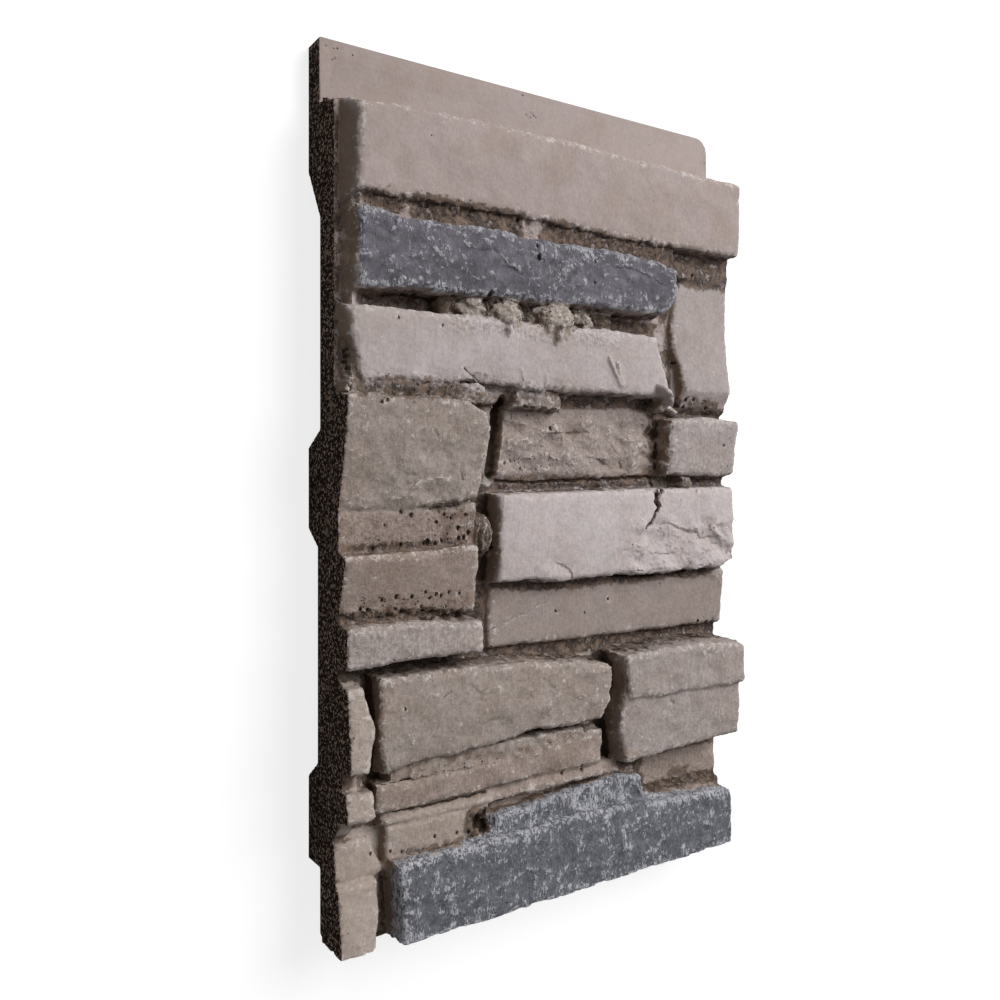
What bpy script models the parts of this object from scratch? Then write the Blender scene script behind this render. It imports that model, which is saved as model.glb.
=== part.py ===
"""Faux stone wall panel: a sawn length of stacked-stone panel, cast in one piece.

Metres, +Z up. The panel lies on its back ribs, as it would on a level floor, with its stones up.
X runs along the courses from the sawn end (-X) to the moulded end (+X). Y runs up the wall, from the
rebate that laps over the panel below to the tongue that is screwed to the wall. The origin is at the
centre of the bounding box's bottom face.
"""
import math

import bpy
import bmesh
from mathutils import Vector, noise

# Overall section
PANEL_WIDTH = 0.2350
TONGUE_LENGTH = 0.0325
TONGUE_THICKNESS = 0.0120
TONGUE_CORNER = 0.0080
LAP_CLEARANCE = 0.0010
SHOULDER_LEAN = 0.0035

# Heights of the courses and of the joints between them, from the bottom edge up
FOOT_COURSE = 0.0350
LEDGE_COURSE = 0.0240
TALL_COURSE = 0.0545
TALL_JOINT = 0.0070
FLAT_COURSE = 0.0295
FLAT_JOINT = 0.0025
LIGHT_COURSE = 0.0430
LIGHT_JOINT = 0.0070
MIDDLE_COURSE = 0.0335
MIDDLE_JOINT = 0.0080
LONG_COURSE = 0.0300
LONG_JOINT = 0.0100
SLATE_COURSE = 0.0305
SLATE_JOINT = 0.0075
TOP_COURSE = 0.0395

# Heights of the stones at the sawn end that keep to no course
LEFT_STONE = 0.0485
LEFT_HOLLOW = 0.0190
LEFT_SLOPE = 0.0280
LEFT_LIP = 0.0170
COLUMN_STONE = 0.0345
COLUMN_CHIP = 0.0135
CORNER_STEP = 0.0175
CORNER_STONE = 0.0285
SLATE_STEP = 0.0120
LIP_RISE = 0.0010
TALL_STONE_RISE = 0.0160
LEDGE_RISE = 0.0120
LEDGE_SETBACK = 0.0030
SECOND_LEDGE_DROP = 0.0090
STEP_OVERLAP = 0.0080

# Lengths of the stones and the upright joints between them
END_STRIP = 0.0055
COLUMN_WIDTH = 0.0125
COLUMN_JOINT = 0.0050
LEFT_LENGTH = 0.0695
LEFT_JOINT = 0.0100
CORNER_LENGTH = 0.0250
STEP_LENGTH = 0.0970
END_STONE_TALL = 0.0850
END_STONE_HIGH = 0.0390
END_STONE_MIDDLE = 0.0480
END_HOLLOW = 0.0560
UPRIGHT_JOINT = 0.0055

# Shape of each stone. heights: the face above the floor at the lower left, lower right, upper right and
# upper left corner. The other lines hold offsets at even stations along one edge: foot and top run from
# left to right and move along Y, left and right run from foot to top and move along X. profile runs from
# foot to top and moves along Z.
LEVEL = (0.0, 0.0)
END_DRAFT = 0.32
TOP_STONE = {
    "left_draft": END_DRAFT,
    "heights": (0.0400, 0.0365, 0.0380, 0.0400),
    "foot": (-0.0004, -0.0008, 0.0006, 0.0007, -0.0002, -0.0009, -0.0002, 0.0003, 0.0007),
    "top": (-0.0022, 0.0001, 0.0010, 0.0014, 0.0015, 0.0012, 0.0009, 0.0005, 0.0003),
    "left": (0.0, 0.0015),
}
UPPER_SLATE = {
    "left_draft": END_DRAFT,
    "heights": (0.0390, 0.0380, 0.0370, 0.0390),
    "foot": (-0.0028, -0.0011, -0.0009, -0.0005, 0.0002, 0.0011, 0.0013, 0.0013, 0.0023),
    "top": (0.0009, -0.0007, 0.0005, 0.0005, -0.0009, -0.0005, 0.0, -0.0004, -0.0045),
    "left": (0.0, 0.0025),
    "right": (-0.0030, 0.0010, 0.0038, 0.0044, 0.0043),
}
HIGH_END_STONE = {
    "heights": (0.0265, 0.0270, 0.0260, 0.0265),
    "left": (0.0029, 0.0055, 0.0029, -0.0024, -0.0007, 0.0016, 0.0037),
    "profile": (-0.0030, 0.0035, 0.0018, 0.0, 0.0, 0.0, 0.0),
}
LONG_STONE = {
    "left_draft": END_DRAFT,
    "heights": (0.0360, 0.0350, 0.0350, 0.0370),
    "foot": (-0.0035, -0.0015, 0.0002, -0.0002, -0.0011, -0.0009, 0.0, -0.0005, -0.0005),
    "top": (0.0, -0.0001, 0.0005, 0.0002, 0.0, 0.0004, 0.0009, 0.0009, 0.0006),
    "left": (0.0030, 0.0003, -0.0015, -0.0030),
    "right": (0.0015, -0.0003, -0.0030, -0.0058, -0.0073),
}
LEFT_STONE_SHAPE = {
    "heights": (0.0320, 0.0365, 0.0415, 0.0430),
    "foot": (-0.0005, -0.0005, -0.0001, 0.0003, 0.0008, 0.0025, 0.0045),
    "top": (-0.0006, -0.0005, -0.0002, 0.0, 0.0001, 0.0002, -0.0055),
    "right": (-0.0022, -0.0015, 0.0008, 0.0017, 0.0),
}
MIDDLE_STONE = {
    "heights": (0.0240, 0.0230, 0.0235, 0.0245),
    "foot": (-0.0005, -0.0005, -0.0008, -0.0015, -0.0025),
    "top": (-0.0006, 0.0002, 0.0007, 0.0018, 0.0027),
    "left": (0.0, 0.0060, 0.0085),
    "right": (0.0005, 0.0035),
}
MIDDLE_END_SHAPE = {
    "heights": (0.0330, 0.0325, 0.0365, 0.0345),
    "foot": (0.0003, 0.0, -0.0004, -0.0006, 0.0015),
    "top": (-0.0002, 0.0011, 0.0024, 0.0003, -0.0010),
    "left": (-0.0010, 0.0010),
}
LIGHT_STONE = {
    "heights": (0.0350, 0.0330, 0.0320, 0.0350),
    "foot": (0.0001, -0.0002, -0.0004, -0.0001, 0.0004, 0.0002, 0.0, 0.0006, 0.0050),
    "top": (-0.0020, -0.0018, -0.0016, -0.0011, -0.0004, 0.0003, 0.0005, 0.0007, 0.0009),
}
FLAT_STONE = {
    "heights": (0.0250, 0.0225, 0.0255, 0.0250),
}
HOLLOW_SHAPE = {
    "heights": (0.0325, 0.0310, 0.0310, 0.0325),
}
SLOPE_SHAPE = {
    "heights": (0.0312, 0.0320, 0.0385, 0.0402),
    "top": (0.0, 0.0, 0.0005, 0.0012, 0.0020),
    "right": (-0.0010, -0.0030, -0.0038, 0.0, -0.0040),
    "profile": (0.0, -0.0006, 0.0008, 0.0006, 0.0),
}
LIP_SHAPE = {
    "heights": (0.0420, 0.0400, 0.0400, 0.0415),
    "foot": (0.0005, -0.0002, 0.0015, 0.0013, 0.0015),
    "top": (-0.0002, 0.0, 0.0003, -0.0002, -0.0020),
    "right": (-0.0030, 0.0, 0.0, -0.0015),
}
TALL_STONE = {
    "heights": (0.0365, 0.0360, 0.0370, 0.0385),
    "foot": (-0.0002, 0.0011, 0.0025, 0.0040, 0.0073, 0.0064, 0.0075),
    "top": (0.0025, 0.0025, 0.0022, 0.0016, 0.0002, -0.0012, -0.0065),
    "left": (0.0019, -0.0005, -0.0008, -0.0005),
    "right": (-0.0060, 0.0005, 0.0010, 0.0005),
}
TALL_END_SHAPE = {
    "heights": (0.0365, 0.0360, 0.0385, 0.0380),
    "foot": (-0.0007, -0.0002, 0.0008, 0.0020, 0.0020),
    "top": (-0.0015, -0.0005, 0.0001, -0.0007, -0.0035),
    "left": (0.0048, 0.0010, -0.0007, 0.0010, 0.0045, 0.0030, 0.0040),
}
TALL_BROW = {
    "heights": (0.0395, 0.0410, 0.0410, 0.0395),
    "foot": (0.0005, -0.0008, 0.0006, -0.0004, 0.0008),
    "top": (-0.0015, -0.0005, 0.0001, -0.0007, -0.0035),
    "left": (0.0054, 0.0010, 0.0024),
}
COLUMN_SHAPE = {
    "heights": (0.0455, 0.0450, 0.0415, 0.0420),
    "right": (-0.0040, -0.0010, 0.0, -0.0015, -0.0049),
}
CHIP_SHAPE = {
    "heights": (0.0420, 0.0415, 0.0400, 0.0395),
    "foot": (0.0018, 0.0005),
    "top": (0.0010, -0.0010),
    "right": (0.0002, 0.0023, 0.0023, 0.0),
}
CORNER_STEP_SHAPE = {
    "heights": (0.0300, 0.0275, 0.0270, 0.0270),
    "right": (-0.0010, -0.0010, -0.0050, -0.0093),
}
CORNER_SHAPE = {
    "heights": (0.0380, 0.0365, 0.0300, 0.0310),
    "right": (-0.0105, -0.0090, -0.0064, -0.0010, -0.0070),
}
LEDGE = {
    "heights": (0.0320, 0.0305, 0.0320, 0.0340),
    "foot": (-0.0005, 0.0, 0.0005, 0.0010, 0.0010),
    "top": (-0.0018, -0.0014, -0.0008, 0.0020, 0.0050),
}
SECOND_LEDGE = {
    "heights": (0.0312, 0.0300, 0.0275, 0.0285),
    "foot": (0.0004, -0.0006, 0.0003, 0.0008, 0.0020),
}
THIRD_LEDGE = {
    "heights": (0.0285, 0.0280, 0.0302, 0.0305),
    "right": (-0.0010, -0.0040, -0.0020),
}
SLATE_STEP_SHAPE = {
    "heights": (0.0310, 0.0275, 0.0275, 0.0310),
    "top": (-0.0034, -0.0021, -0.0004, 0.0009, 0.0026, -0.0010),
    "left": (0.0010, 0.0, -0.0005),
    "right": (0.0, 0.0, -0.0050),
}
SLATE_END = {
    "heights": (0.0255, 0.0215, 0.0205, 0.0255),
    "top": (0.0020, -0.0008, -0.0010, -0.0012, -0.0015),
}
FOOT_SLATE = {
    "heights": (0.0385, 0.0313, 0.0305, 0.0380),
    "foot": (0.0, 0.0003, -0.0005, 0.0003, 0.0, -0.0004, 0.0),
    "top": (-0.0008, 0.0004, 0.0006, 0.0011, -0.0010, -0.0042, -0.0058),
    "left": (0.0, 0.0, -0.0020),
}
SLATE_MORTAR = {
    "heights": (0.0310, 0.0290, 0.0300, 0.0315),
    "foot": (0.0, 0.0015, -0.0010, 0.0010, 0.0),
}
LONG_MORTAR = {
    "left_draft": END_DRAFT,
    "heights": (0.0330, 0.0270, 0.0280, 0.0335),
}
JOINT_CHIP = {
    "heights": (0.0310, 0.0300, 0.0320, 0.0330),
    "right": (0.0, -0.0010, 0.0015),
}

# Mortar left in the joints: the beds, the knot beside the light stone and the lumps under the upper slate
MORTAR_START = 0.0500
MORTAR_END = 0.1500
LONG_MORTAR_END = 0.1120
KNOT_RADII = (0.0060, 0.0100, 0.0108)
LUMPS = (
    ((0.0650, 0.2795, 0.0300), (0.0080, 0.0062, 0.0060)),
    ((0.0840, 0.2775, 0.0305), (0.0085, 0.0090, 0.0075)),
    ((0.1120, 0.2770, 0.0310), (0.0120, 0.0100, 0.0080)),
    ((0.1310, 0.2790, 0.0285), (0.0055, 0.0055, 0.0050)),
)

# Notch split into the upper edge of the light stone
NOTCH_OFFSET = 0.0985
NOTCH_WIDTH = 0.0050
NOTCH_LENGTH = 0.0180
NOTCH_FLOOR = 0.0300

# Floors of the joints, from the sawn end to the moulded end
END_VALLEY = 0.0035
VALLEY_RIM = 0.0060
FLOOR_STRIP = 0.0285
FLOOR_VALLEY = 0.0275
FLOOR_RIM = 0.0335
FLOOR_COLUMN = 0.0360
FLOOR_INNER = 0.0240
FLOOR_END = 0.0220
FLOOR_HOLLOW = 0.0180
JOINT_SINK = 0.0100

# Back of the casting, from the top edge down
TOP_RIB = 0.0570
RIB_SLOPE = 0.0230
UPPER_CHANNEL = 0.0915
UPPER_DEPTH = 0.0132
CHANNEL_SLOPE = 0.0080
MIDDLE_RIB = 0.0360
LOWER_CHANNEL = 0.0940
LOWER_DEPTH = 0.0105
TOE_LENGTH = 0.0030
TOE_RISE = 0.0195
TOE_WEB = 0.0045

# Make-up of one stone
CELL = 0.0085
ARRIS = 0.0018
ARRIS_DROP = 0.0012
DRAFT = 0.11
STONE_ROOT = 0.0158
ROOT_STEP = 0.00005
OVERRUN = 0.0080
CROWN = 0.0008
WANDER = 0.0008
WANDER_LENGTH = 0.0210
RELIEF = 0.0010
RELIEF_LENGTH = 0.0170
ARC_STEPS = 8
LUMP_SEGMENTS = 10
LUMP_RINGS = 8

# Levels of the courses, each from the one below it
TALL_FOOT = FOOT_COURSE + LEDGE_COURSE
TALL_TOP = TALL_FOOT + TALL_COURSE
FLAT_FOOT = TALL_TOP + TALL_JOINT
FLAT_TOP = FLAT_FOOT + FLAT_COURSE
LIGHT_FOOT = FLAT_TOP + FLAT_JOINT
LIGHT_TOP = LIGHT_FOOT + LIGHT_COURSE
MIDDLE_FOOT = LIGHT_TOP + LIGHT_JOINT
MIDDLE_TOP = MIDDLE_FOOT + MIDDLE_COURSE
LONG_FOOT = MIDDLE_TOP + MIDDLE_JOINT
LONG_TOP = LONG_FOOT + LONG_COURSE
SLATE_FOOT = LONG_TOP + LONG_JOINT
SLATE_TOP = SLATE_FOOT + SLATE_COURSE
TOP_FOOT = SLATE_TOP + SLATE_JOINT
SHOULDER = TOP_FOOT + TOP_COURSE
PANEL_HEIGHT = SHOULDER + TONGUE_LENGTH

# Levels at the sawn end, each from the course beside it
LEFT_FOOT = MIDDLE_TOP - LEFT_STONE
HOLLOW_FOOT = LEFT_FOOT - LEFT_HOLLOW
SLOPE_FOOT = HOLLOW_FOOT - LEFT_SLOPE
COLUMN_FOOT = TALL_TOP - COLUMN_STONE

# The lap at the back takes the tongue of the panel below
LAP_LENGTH = TONGUE_LENGTH - LAP_CLEARANCE
LAP_DEPTH = TONGUE_THICKNESS + LAP_CLEARANCE

# Ends of the stones along X
SAWN = -OVERRUN
MOULDED = PANEL_WIDTH + OVERRUN
INNER = COLUMN_WIDTH + COLUMN_JOINT
RIGHT_START = LEFT_LENGTH + LEFT_JOINT
TALL_END = PANEL_WIDTH - END_STONE_TALL
HIGH_END = PANEL_WIDTH - END_STONE_HIGH
MIDDLE_END = PANEL_WIDTH - END_STONE_MIDDLE

# From the panel's lower left corner to the middle of its footprint
CORNER = Vector((-PANEL_WIDTH / 2, -PANEL_HEIGHT / 2, 0.0))

PALETTE = {
    "cast_stone": ((0.34, 0.30, 0.28), 0.75),
    "pale_stone": ((0.42, 0.39, 0.37), 0.72),
    "slate": ((0.13, 0.14, 0.16), 0.62),
    "joint_wash": ((0.16, 0.12, 0.09), 0.85),
    "sawn_core": ((0.03, 0.025, 0.022), 0.90),
}


def clear_scene():
    for item in list(bpy.data.objects):
        bpy.data.objects.remove(item, do_unlink=True)


def make_material(name):
    colour, roughness = PALETTE[name]
    material = bpy.data.materials.new(name)
    material.use_nodes = True
    shader = material.node_tree.nodes["Principled BSDF"]
    shader.inputs["Base Color"].default_value = (*colour, 1.0)
    shader.inputs["Roughness"].default_value = roughness
    shader.inputs["Metallic"].default_value = 0.0
    return material


def new_collection(name):
    collection = bpy.data.collections.new(name)
    bpy.context.scene.collection.children.link(collection)
    return collection


def helper_from(bm, name, material, collection):
    """Turns a closed bmesh in panel coordinates into a stone to cast in or a cutter."""
    helper = object_from(bm, name, material, collection)
    helper.hide_render = True
    helper.display_type = "WIRE"
    return helper


def object_from(bm, name, material, collection):
    """Turns a closed bmesh in panel coordinates into an object whose faces are all flat."""
    bmesh.ops.triangulate(bm, faces=bm.faces[:])
    bmesh.ops.recalc_face_normals(bm, faces=bm.faces[:])
    mesh = bpy.data.meshes.new(name)
    bm.to_mesh(mesh)
    bm.free()
    mesh.materials.append(material)
    item = bpy.data.objects.new(name, mesh)
    item.location = CORNER
    collection.objects.link(item)
    return item


def boolean_step(target, name, operation):
    """Adds a Boolean step that brings its helpers' materials with their faces."""
    step = target.modifiers.new(name, "BOOLEAN")
    step.operation = operation
    step.solver = "MANIFOLD"
    step.material_mode = "TRANSFER"
    return step


def cut_with(target, cutter, operation):
    boolean_step(target, cutter.name, operation).object = cutter


def cast_in(target, stones):
    """Joins a whole collection of stones to the backing in one union."""
    step = boolean_step(target, stones.name, "UNION")
    step.operand_type = "COLLECTION"
    step.collection = stones


def back_line():
    """The rear outline as (y, z), from the bottom edge up: lap, three ribs and two channels."""
    top_rib_foot = PANEL_HEIGHT - TOP_RIB
    upper_channel_top = top_rib_foot - RIB_SLOPE
    upper_channel_foot = upper_channel_top - UPPER_CHANNEL
    middle_rib_top = upper_channel_foot - CHANNEL_SLOPE
    middle_rib_foot = middle_rib_top - MIDDLE_RIB
    lower_channel_top = middle_rib_foot - CHANNEL_SLOPE
    lower_channel_foot = lower_channel_top - LOWER_CHANNEL
    return [
        (-OVERRUN, TOE_RISE),
        (0.0, TOE_RISE),
        (TOE_LENGTH, LAP_DEPTH),
        (LAP_LENGTH, LAP_DEPTH),
        (LAP_LENGTH, 0.0),
        (lower_channel_foot - CHANNEL_SLOPE, 0.0),
        (lower_channel_foot, LOWER_DEPTH),
        (lower_channel_top, LOWER_DEPTH),
        (middle_rib_foot, 0.0),
        (middle_rib_top, 0.0),
        (upper_channel_foot, UPPER_DEPTH),
        (upper_channel_top, UPPER_DEPTH),
        (top_rib_foot, 0.0),
        (PANEL_HEIGHT + OVERRUN, 0.0),
    ]


def joint_floors():
    """The joint floors down the front as (y, z at each station from the sawn end to the moulded end)."""
    toe = TOE_RISE + TOE_WEB
    valley = (FLOOR_STRIP, FLOOR_VALLEY, FLOOR_RIM)
    strip = (FLOOR_STRIP, FLOOR_STRIP, FLOOR_STRIP)
    column = (FLOOR_COLUMN, FLOOR_COLUMN, FLOOR_COLUMN)
    low = (FLOOR_INNER, FLOOR_INNER, FLOOR_INNER)
    return [
        (SHOULDER, *valley, FLOOR_INNER, FLOOR_INNER),
        (MIDDLE_TOP, *valley, FLOOR_INNER, FLOOR_END),
        (MIDDLE_FOOT, *strip, FLOOR_END, FLOOR_INNER),
        (LIGHT_TOP, *strip, FLOOR_END, FLOOR_INNER),
        (LIGHT_FOOT, *strip, FLOOR_END, FLOOR_END),
        (FLAT_FOOT, *strip, FLOOR_END, FLOOR_HOLLOW),
        (TALL_TOP, *column, FLOOR_INNER, FLOOR_HOLLOW),
        (TALL_FOOT, *column, FLOOR_INNER, FLOOR_HOLLOW),
        (TALL_FOOT - COLUMN_CHIP, *low, FLOOR_INNER, FLOOR_HOLLOW),
        (FOOT_COURSE - JOINT_SINK, *low, FLOOR_INNER, FLOOR_HOLLOW),
        (TOE_LENGTH, toe, toe, toe, toe, toe),
        (-OVERRUN, toe, toe, toe, toe, toe),
    ]


def section(x, station):
    """One section of the backing; the station picks the joint floors."""
    tongue = [(PANEL_HEIGHT + OVERRUN, TONGUE_THICKNESS), (SHOULDER + SHOULDER_LEAN, TONGUE_THICKNESS)]
    floors = [(floor[0], floor[station]) for floor in joint_floors()]
    return [(x, y, z) for y, z in back_line() + tongue + floors]


def bridge(bm, ring, following):
    """Closes the band between two rings of as many points with quads."""
    for i in range(len(ring)):
        bm.faces.new((ring[i - 1], ring[i], following[i], following[i - 1]))


def new_ring(bm, points):
    return [bm.verts.new(point) for point in points]


def make_backing(material, collection):
    """Lofts the backing through its sections, from past the sawn end to past the moulded end."""
    bm = bmesh.new()
    stations = (SAWN, END_VALLEY, VALLEY_RIM, INNER, MOULDED)
    rings = [new_ring(bm, section(x, station)) for station, x in enumerate(stations, start=1)]
    for ring, following in zip(rings, rings[1:]):
        bridge(bm, ring, following)
    bm.faces.new(rings[0])
    bm.faces.new(rings[-1])
    return object_from(bm, "panel", material, collection)


def grid_share(index, count, length):
    """Place of a grid line along a side, whose first and last cells are as narrow as the worn arris."""
    edge = min(ARRIS / length, 0.2)
    if index == 0:
        return 0.0
    if index == count:
        return 1.0
    return edge + (index - 1) * (1.0 - 2.0 * edge) / (count - 2)


def side_of(index, count):
    """-1 on the first grid line, 1 on the last and 0 between them."""
    return -1.0 if index == 0 else 1.0 if index == count else 0.0


def hewn(point, seed):
    """Moves a face point the way a split stone strays from a flat face and a straight edge."""
    along = noise.noise(point / WANDER_LENGTH + Vector((seed, 0.0, 0.0)))
    across = noise.noise(point / WANDER_LENGTH + Vector((0.0, 0.0, seed)))
    swell = noise.noise(point / RELIEF_LENGTH + Vector((0.0, seed, 0.0)))
    return point + Vector((along * WANDER, across * WANDER, swell * RELIEF))


def mix(start, end, share):
    return start + (end - start) * share


def line_at(shape, line, share):
    """Offset at a share of the way along one of a stone's lines; a line that isn't given is level."""
    values = shape.get(line, LEVEL)
    place = share * (len(values) - 1)
    first = min(int(place), len(values) - 2)
    return mix(values[first], values[first + 1], place - first)


def rim_of(rows):
    """The border of a grid of rows, once round from its lower left corner."""
    right_side = [row[-1] for row in rows[1:-1]]
    left_side = [row[0] for row in rows[-2:0:-1]]
    return rows[0] + right_side + rows[-1][::-1] + left_side


def face_point(box, shape, u, v, seed):
    """The point at shares u and v of a stone's crowned and hewn face."""
    left, right, foot, top = box
    low_left, low_right, high_right, high_left = shape["heights"]
    x = mix(left + line_at(shape, "left", v), right + line_at(shape, "right", v), u)
    y = mix(foot + line_at(shape, "foot", u), top + line_at(shape, "top", u), v)
    z = mix(mix(low_left, low_right, u), mix(high_left, high_right, u), v)
    z += line_at(shape, "profile", v) + CROWN * math.sin(math.pi * u) * math.sin(math.pi * v)
    return hewn(Vector((x, y, z)), seed)


def root_point(point, side, draft, seed):
    """The point of the root under a rim point, further out by the mould's draft."""
    root = point + Vector((*side, 0.0)) * draft * (point.z - STONE_ROOT)
    root.z = STONE_ROOT - seed * ROOT_STEP
    return root


def make_stone(name, box, shape, material, collection, seed):
    """Builds one stone: a grid over its face, chamfered at the arris, lofted down to its root."""
    left, right, foot, top = box
    across = max(3, round((right - left) / CELL))
    up = max(3, round((top - foot) / CELL))
    columns = [(side_of(i, across), grid_share(i, across, right - left)) for i in range(across + 1)]
    rows = [(side_of(i, up), grid_share(i, up, top - foot)) for i in range(up + 1)]
    bm = bmesh.new()
    face = [[bm.verts.new(face_point(box, shape, u, v, seed)) for _, u in columns] for _, v in rows]
    sides = [[(across_side, up_side) for across_side, _ in columns] for up_side, _ in rows]
    for low, high in zip(face, face[1:]):
        for i in range(across):
            bm.faces.new((low[i], low[i + 1], high[i + 1], high[i]))
    rim = rim_of(face)
    root = []
    for vert, side in zip(rim, rim_of(sides)):
        vert.co.z -= ARRIS_DROP
        draft = shape.get("left_draft", DRAFT) if side[0] < 0.0 else DRAFT
        root.append(bm.verts.new(root_point(vert.co, side, draft, seed)))
    bridge(bm, rim, root)
    bm.faces.new(root)
    return helper_from(bm, name, material, collection)


def upper_stones():
    """Name, finish, box and shape of each stone above the light course, from the top course down.

    A box gives the left, right, foot and top of the face.
    """
    inner_end = HIGH_END - 2 * UPRIGHT_JOINT
    yield "top_stone", "cast_stone", (END_STRIP, MOULDED, TOP_FOOT, SHOULDER), TOP_STONE
    yield "upper_slate", "slate", (END_STRIP, inner_end, SLATE_FOOT, SLATE_TOP), UPPER_SLATE
    yield "high_end_stone", "cast_stone", (HIGH_END, MOULDED, MIDDLE_TOP, SLATE_TOP), HIGH_END_STONE
    yield "long_stone", "cast_stone", (VALLEY_RIM, inner_end, LONG_FOOT, LONG_TOP), LONG_STONE
    yield "left_stone", "cast_stone", (SAWN, LEFT_LENGTH, LEFT_FOOT, MIDDLE_TOP), LEFT_STONE_SHAPE
    yield "middle_stone", "cast_stone", (
        RIGHT_START, MIDDLE_END - UPRIGHT_JOINT, MIDDLE_FOOT, MIDDLE_TOP), MIDDLE_STONE
    yield "middle_end_stone", "cast_stone", (
        MIDDLE_END, MOULDED, MIDDLE_FOOT, MIDDLE_TOP - MIDDLE_JOINT / 2), MIDDLE_END_SHAPE


def centre_stones():
    """The light stone, the flat stone under it and the three strips beside them."""
    lip_foot = FLAT_FOOT + LIP_RISE
    yield "light_stone", "pale_stone", (RIGHT_START, MOULDED, LIGHT_FOOT, LIGHT_TOP), LIGHT_STONE
    yield "flat_stone", "cast_stone", (RIGHT_START, MOULDED, FLAT_FOOT, FLAT_TOP), FLAT_STONE
    yield "left_hollow", "cast_stone", (
        SAWN, LEFT_LENGTH, HOLLOW_FOOT - FLAT_JOINT, LEFT_FOOT + FLAT_JOINT), HOLLOW_SHAPE
    yield "left_slope", "cast_stone", (SAWN, LEFT_LENGTH, SLOPE_FOOT, HOLLOW_FOOT), SLOPE_SHAPE
    yield "left_lip", "cast_stone", (SAWN, LEFT_LENGTH, lip_foot, lip_foot + LEFT_LIP), LIP_SHAPE


def lower_stones():
    """The tall course, the stones at the sawn corner and the ledges, down to the slate at the foot."""
    chip_foot = TALL_FOOT - FLAT_JOINT
    second_foot = TALL_FOOT - SECOND_LEDGE_DROP
    yield "tall_stone", "cast_stone", (
        INNER, TALL_END - UPRIGHT_JOINT, TALL_FOOT + TALL_STONE_RISE, TALL_TOP), TALL_STONE
    yield "tall_end_stone", "cast_stone", (TALL_END, MOULDED, TALL_FOOT, TALL_TOP), TALL_END_SHAPE
    yield "tall_end_brow", "cast_stone", (TALL_END, MOULDED, TALL_TOP - LEDGE_COURSE, TALL_TOP), TALL_BROW
    yield "column_stone", "cast_stone", (SAWN, COLUMN_WIDTH, COLUMN_FOOT, TALL_TOP), COLUMN_SHAPE
    yield "column_chip", "cast_stone", (SAWN, COLUMN_WIDTH, chip_foot, chip_foot + COLUMN_CHIP), CHIP_SHAPE
    yield "corner_step", "cast_stone", (
        SAWN, CORNER_LENGTH, CORNER_STONE, CORNER_STONE + CORNER_STEP), CORNER_STEP_SHAPE
    yield "corner_stone", "cast_stone", (SAWN, CORNER_LENGTH, SAWN, CORNER_STONE), CORNER_SHAPE
    yield "ledge", "cast_stone", (
        INNER, TALL_END - UPRIGHT_JOINT, chip_foot, TALL_FOOT + LEDGE_RISE), LEDGE
    yield "second_ledge", "cast_stone", (
        INNER + LEDGE_SETBACK, TALL_END + UPRIGHT_JOINT, second_foot, TALL_FOOT), SECOND_LEDGE
    yield "third_ledge", "cast_stone", (
        INNER + 2 * LEDGE_SETBACK, RIGHT_START, FOOT_COURSE - STEP_OVERLAP, second_foot), THIRD_LEDGE
    yield "slate_step", "slate", (
        RIGHT_START, RIGHT_START + STEP_LENGTH, FOOT_COURSE - STEP_OVERLAP, FOOT_COURSE + SLATE_STEP
        ), SLATE_STEP_SHAPE
    yield "slate_end", "slate", (
        PANEL_WIDTH - END_HOLLOW - UPRIGHT_JOINT, MOULDED, FOOT_COURSE - STEP_OVERLAP, FOOT_COURSE
        ), SLATE_END
    yield "foot_slate", "slate", (CORNER_LENGTH + LEDGE_SETBACK, MOULDED, SAWN, FOOT_COURSE), FOOT_SLATE


def mortar_beds():
    """The joints that are filled with mortar almost up to the stones, and the chip across one of them."""
    yield "slate_mortar", "joint_wash", (MORTAR_START, MORTAR_END, LONG_TOP, SLATE_FOOT), SLATE_MORTAR
    yield "long_mortar", "joint_wash", (VALLEY_RIM, LONG_MORTAR_END, MIDDLE_TOP, LONG_FOOT), LONG_MORTAR
    yield "joint_chip", "cast_stone", (
        MIDDLE_END - UPRIGHT_JOINT, MIDDLE_END, MIDDLE_TOP, LONG_FOOT), JOINT_CHIP


def make_lump(name, middle, radii, material, collection):
    """A rounded lump of mortar."""
    bm = bmesh.new()
    bmesh.ops.create_uvsphere(bm, u_segments=LUMP_SEGMENTS, v_segments=LUMP_RINGS, radius=1.0)
    bmesh.ops.scale(bm, vec=radii, verts=bm.verts[:])
    bmesh.ops.translate(bm, vec=middle, verts=bm.verts[:])
    return helper_from(bm, name, material, collection)


def make_lumps(material, collection):
    """The knot in the upright joint beside the light stone, and the lumps under the upper slate."""
    knot = (LEFT_LENGTH + LEFT_JOINT / 3, LEFT_FOOT - LEFT_HOLLOW * 2 / 3, FLOOR_INNER)
    make_lump("joint_knot", knot, KNOT_RADII, material, collection)
    for number, (middle, radii) in enumerate(LUMPS, start=1):
        make_lump(f"mortar_lump_{number}", middle, radii, material, collection)


def make_notch(material, collection):
    """A wedge that splits the upper edge of the light stone, down to its own floor."""
    middle = RIGHT_START + NOTCH_OFFSET
    top = LIGHT_TOP + LIGHT_JOINT / 2
    outline = [
        (middle, LIGHT_TOP - NOTCH_LENGTH),
        (middle + NOTCH_WIDTH / 2, top),
        (middle - NOTCH_WIDTH / 2, top),
    ]
    return make_prism("light_notch", outline, NOTCH_FLOOR, material, collection)


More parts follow.
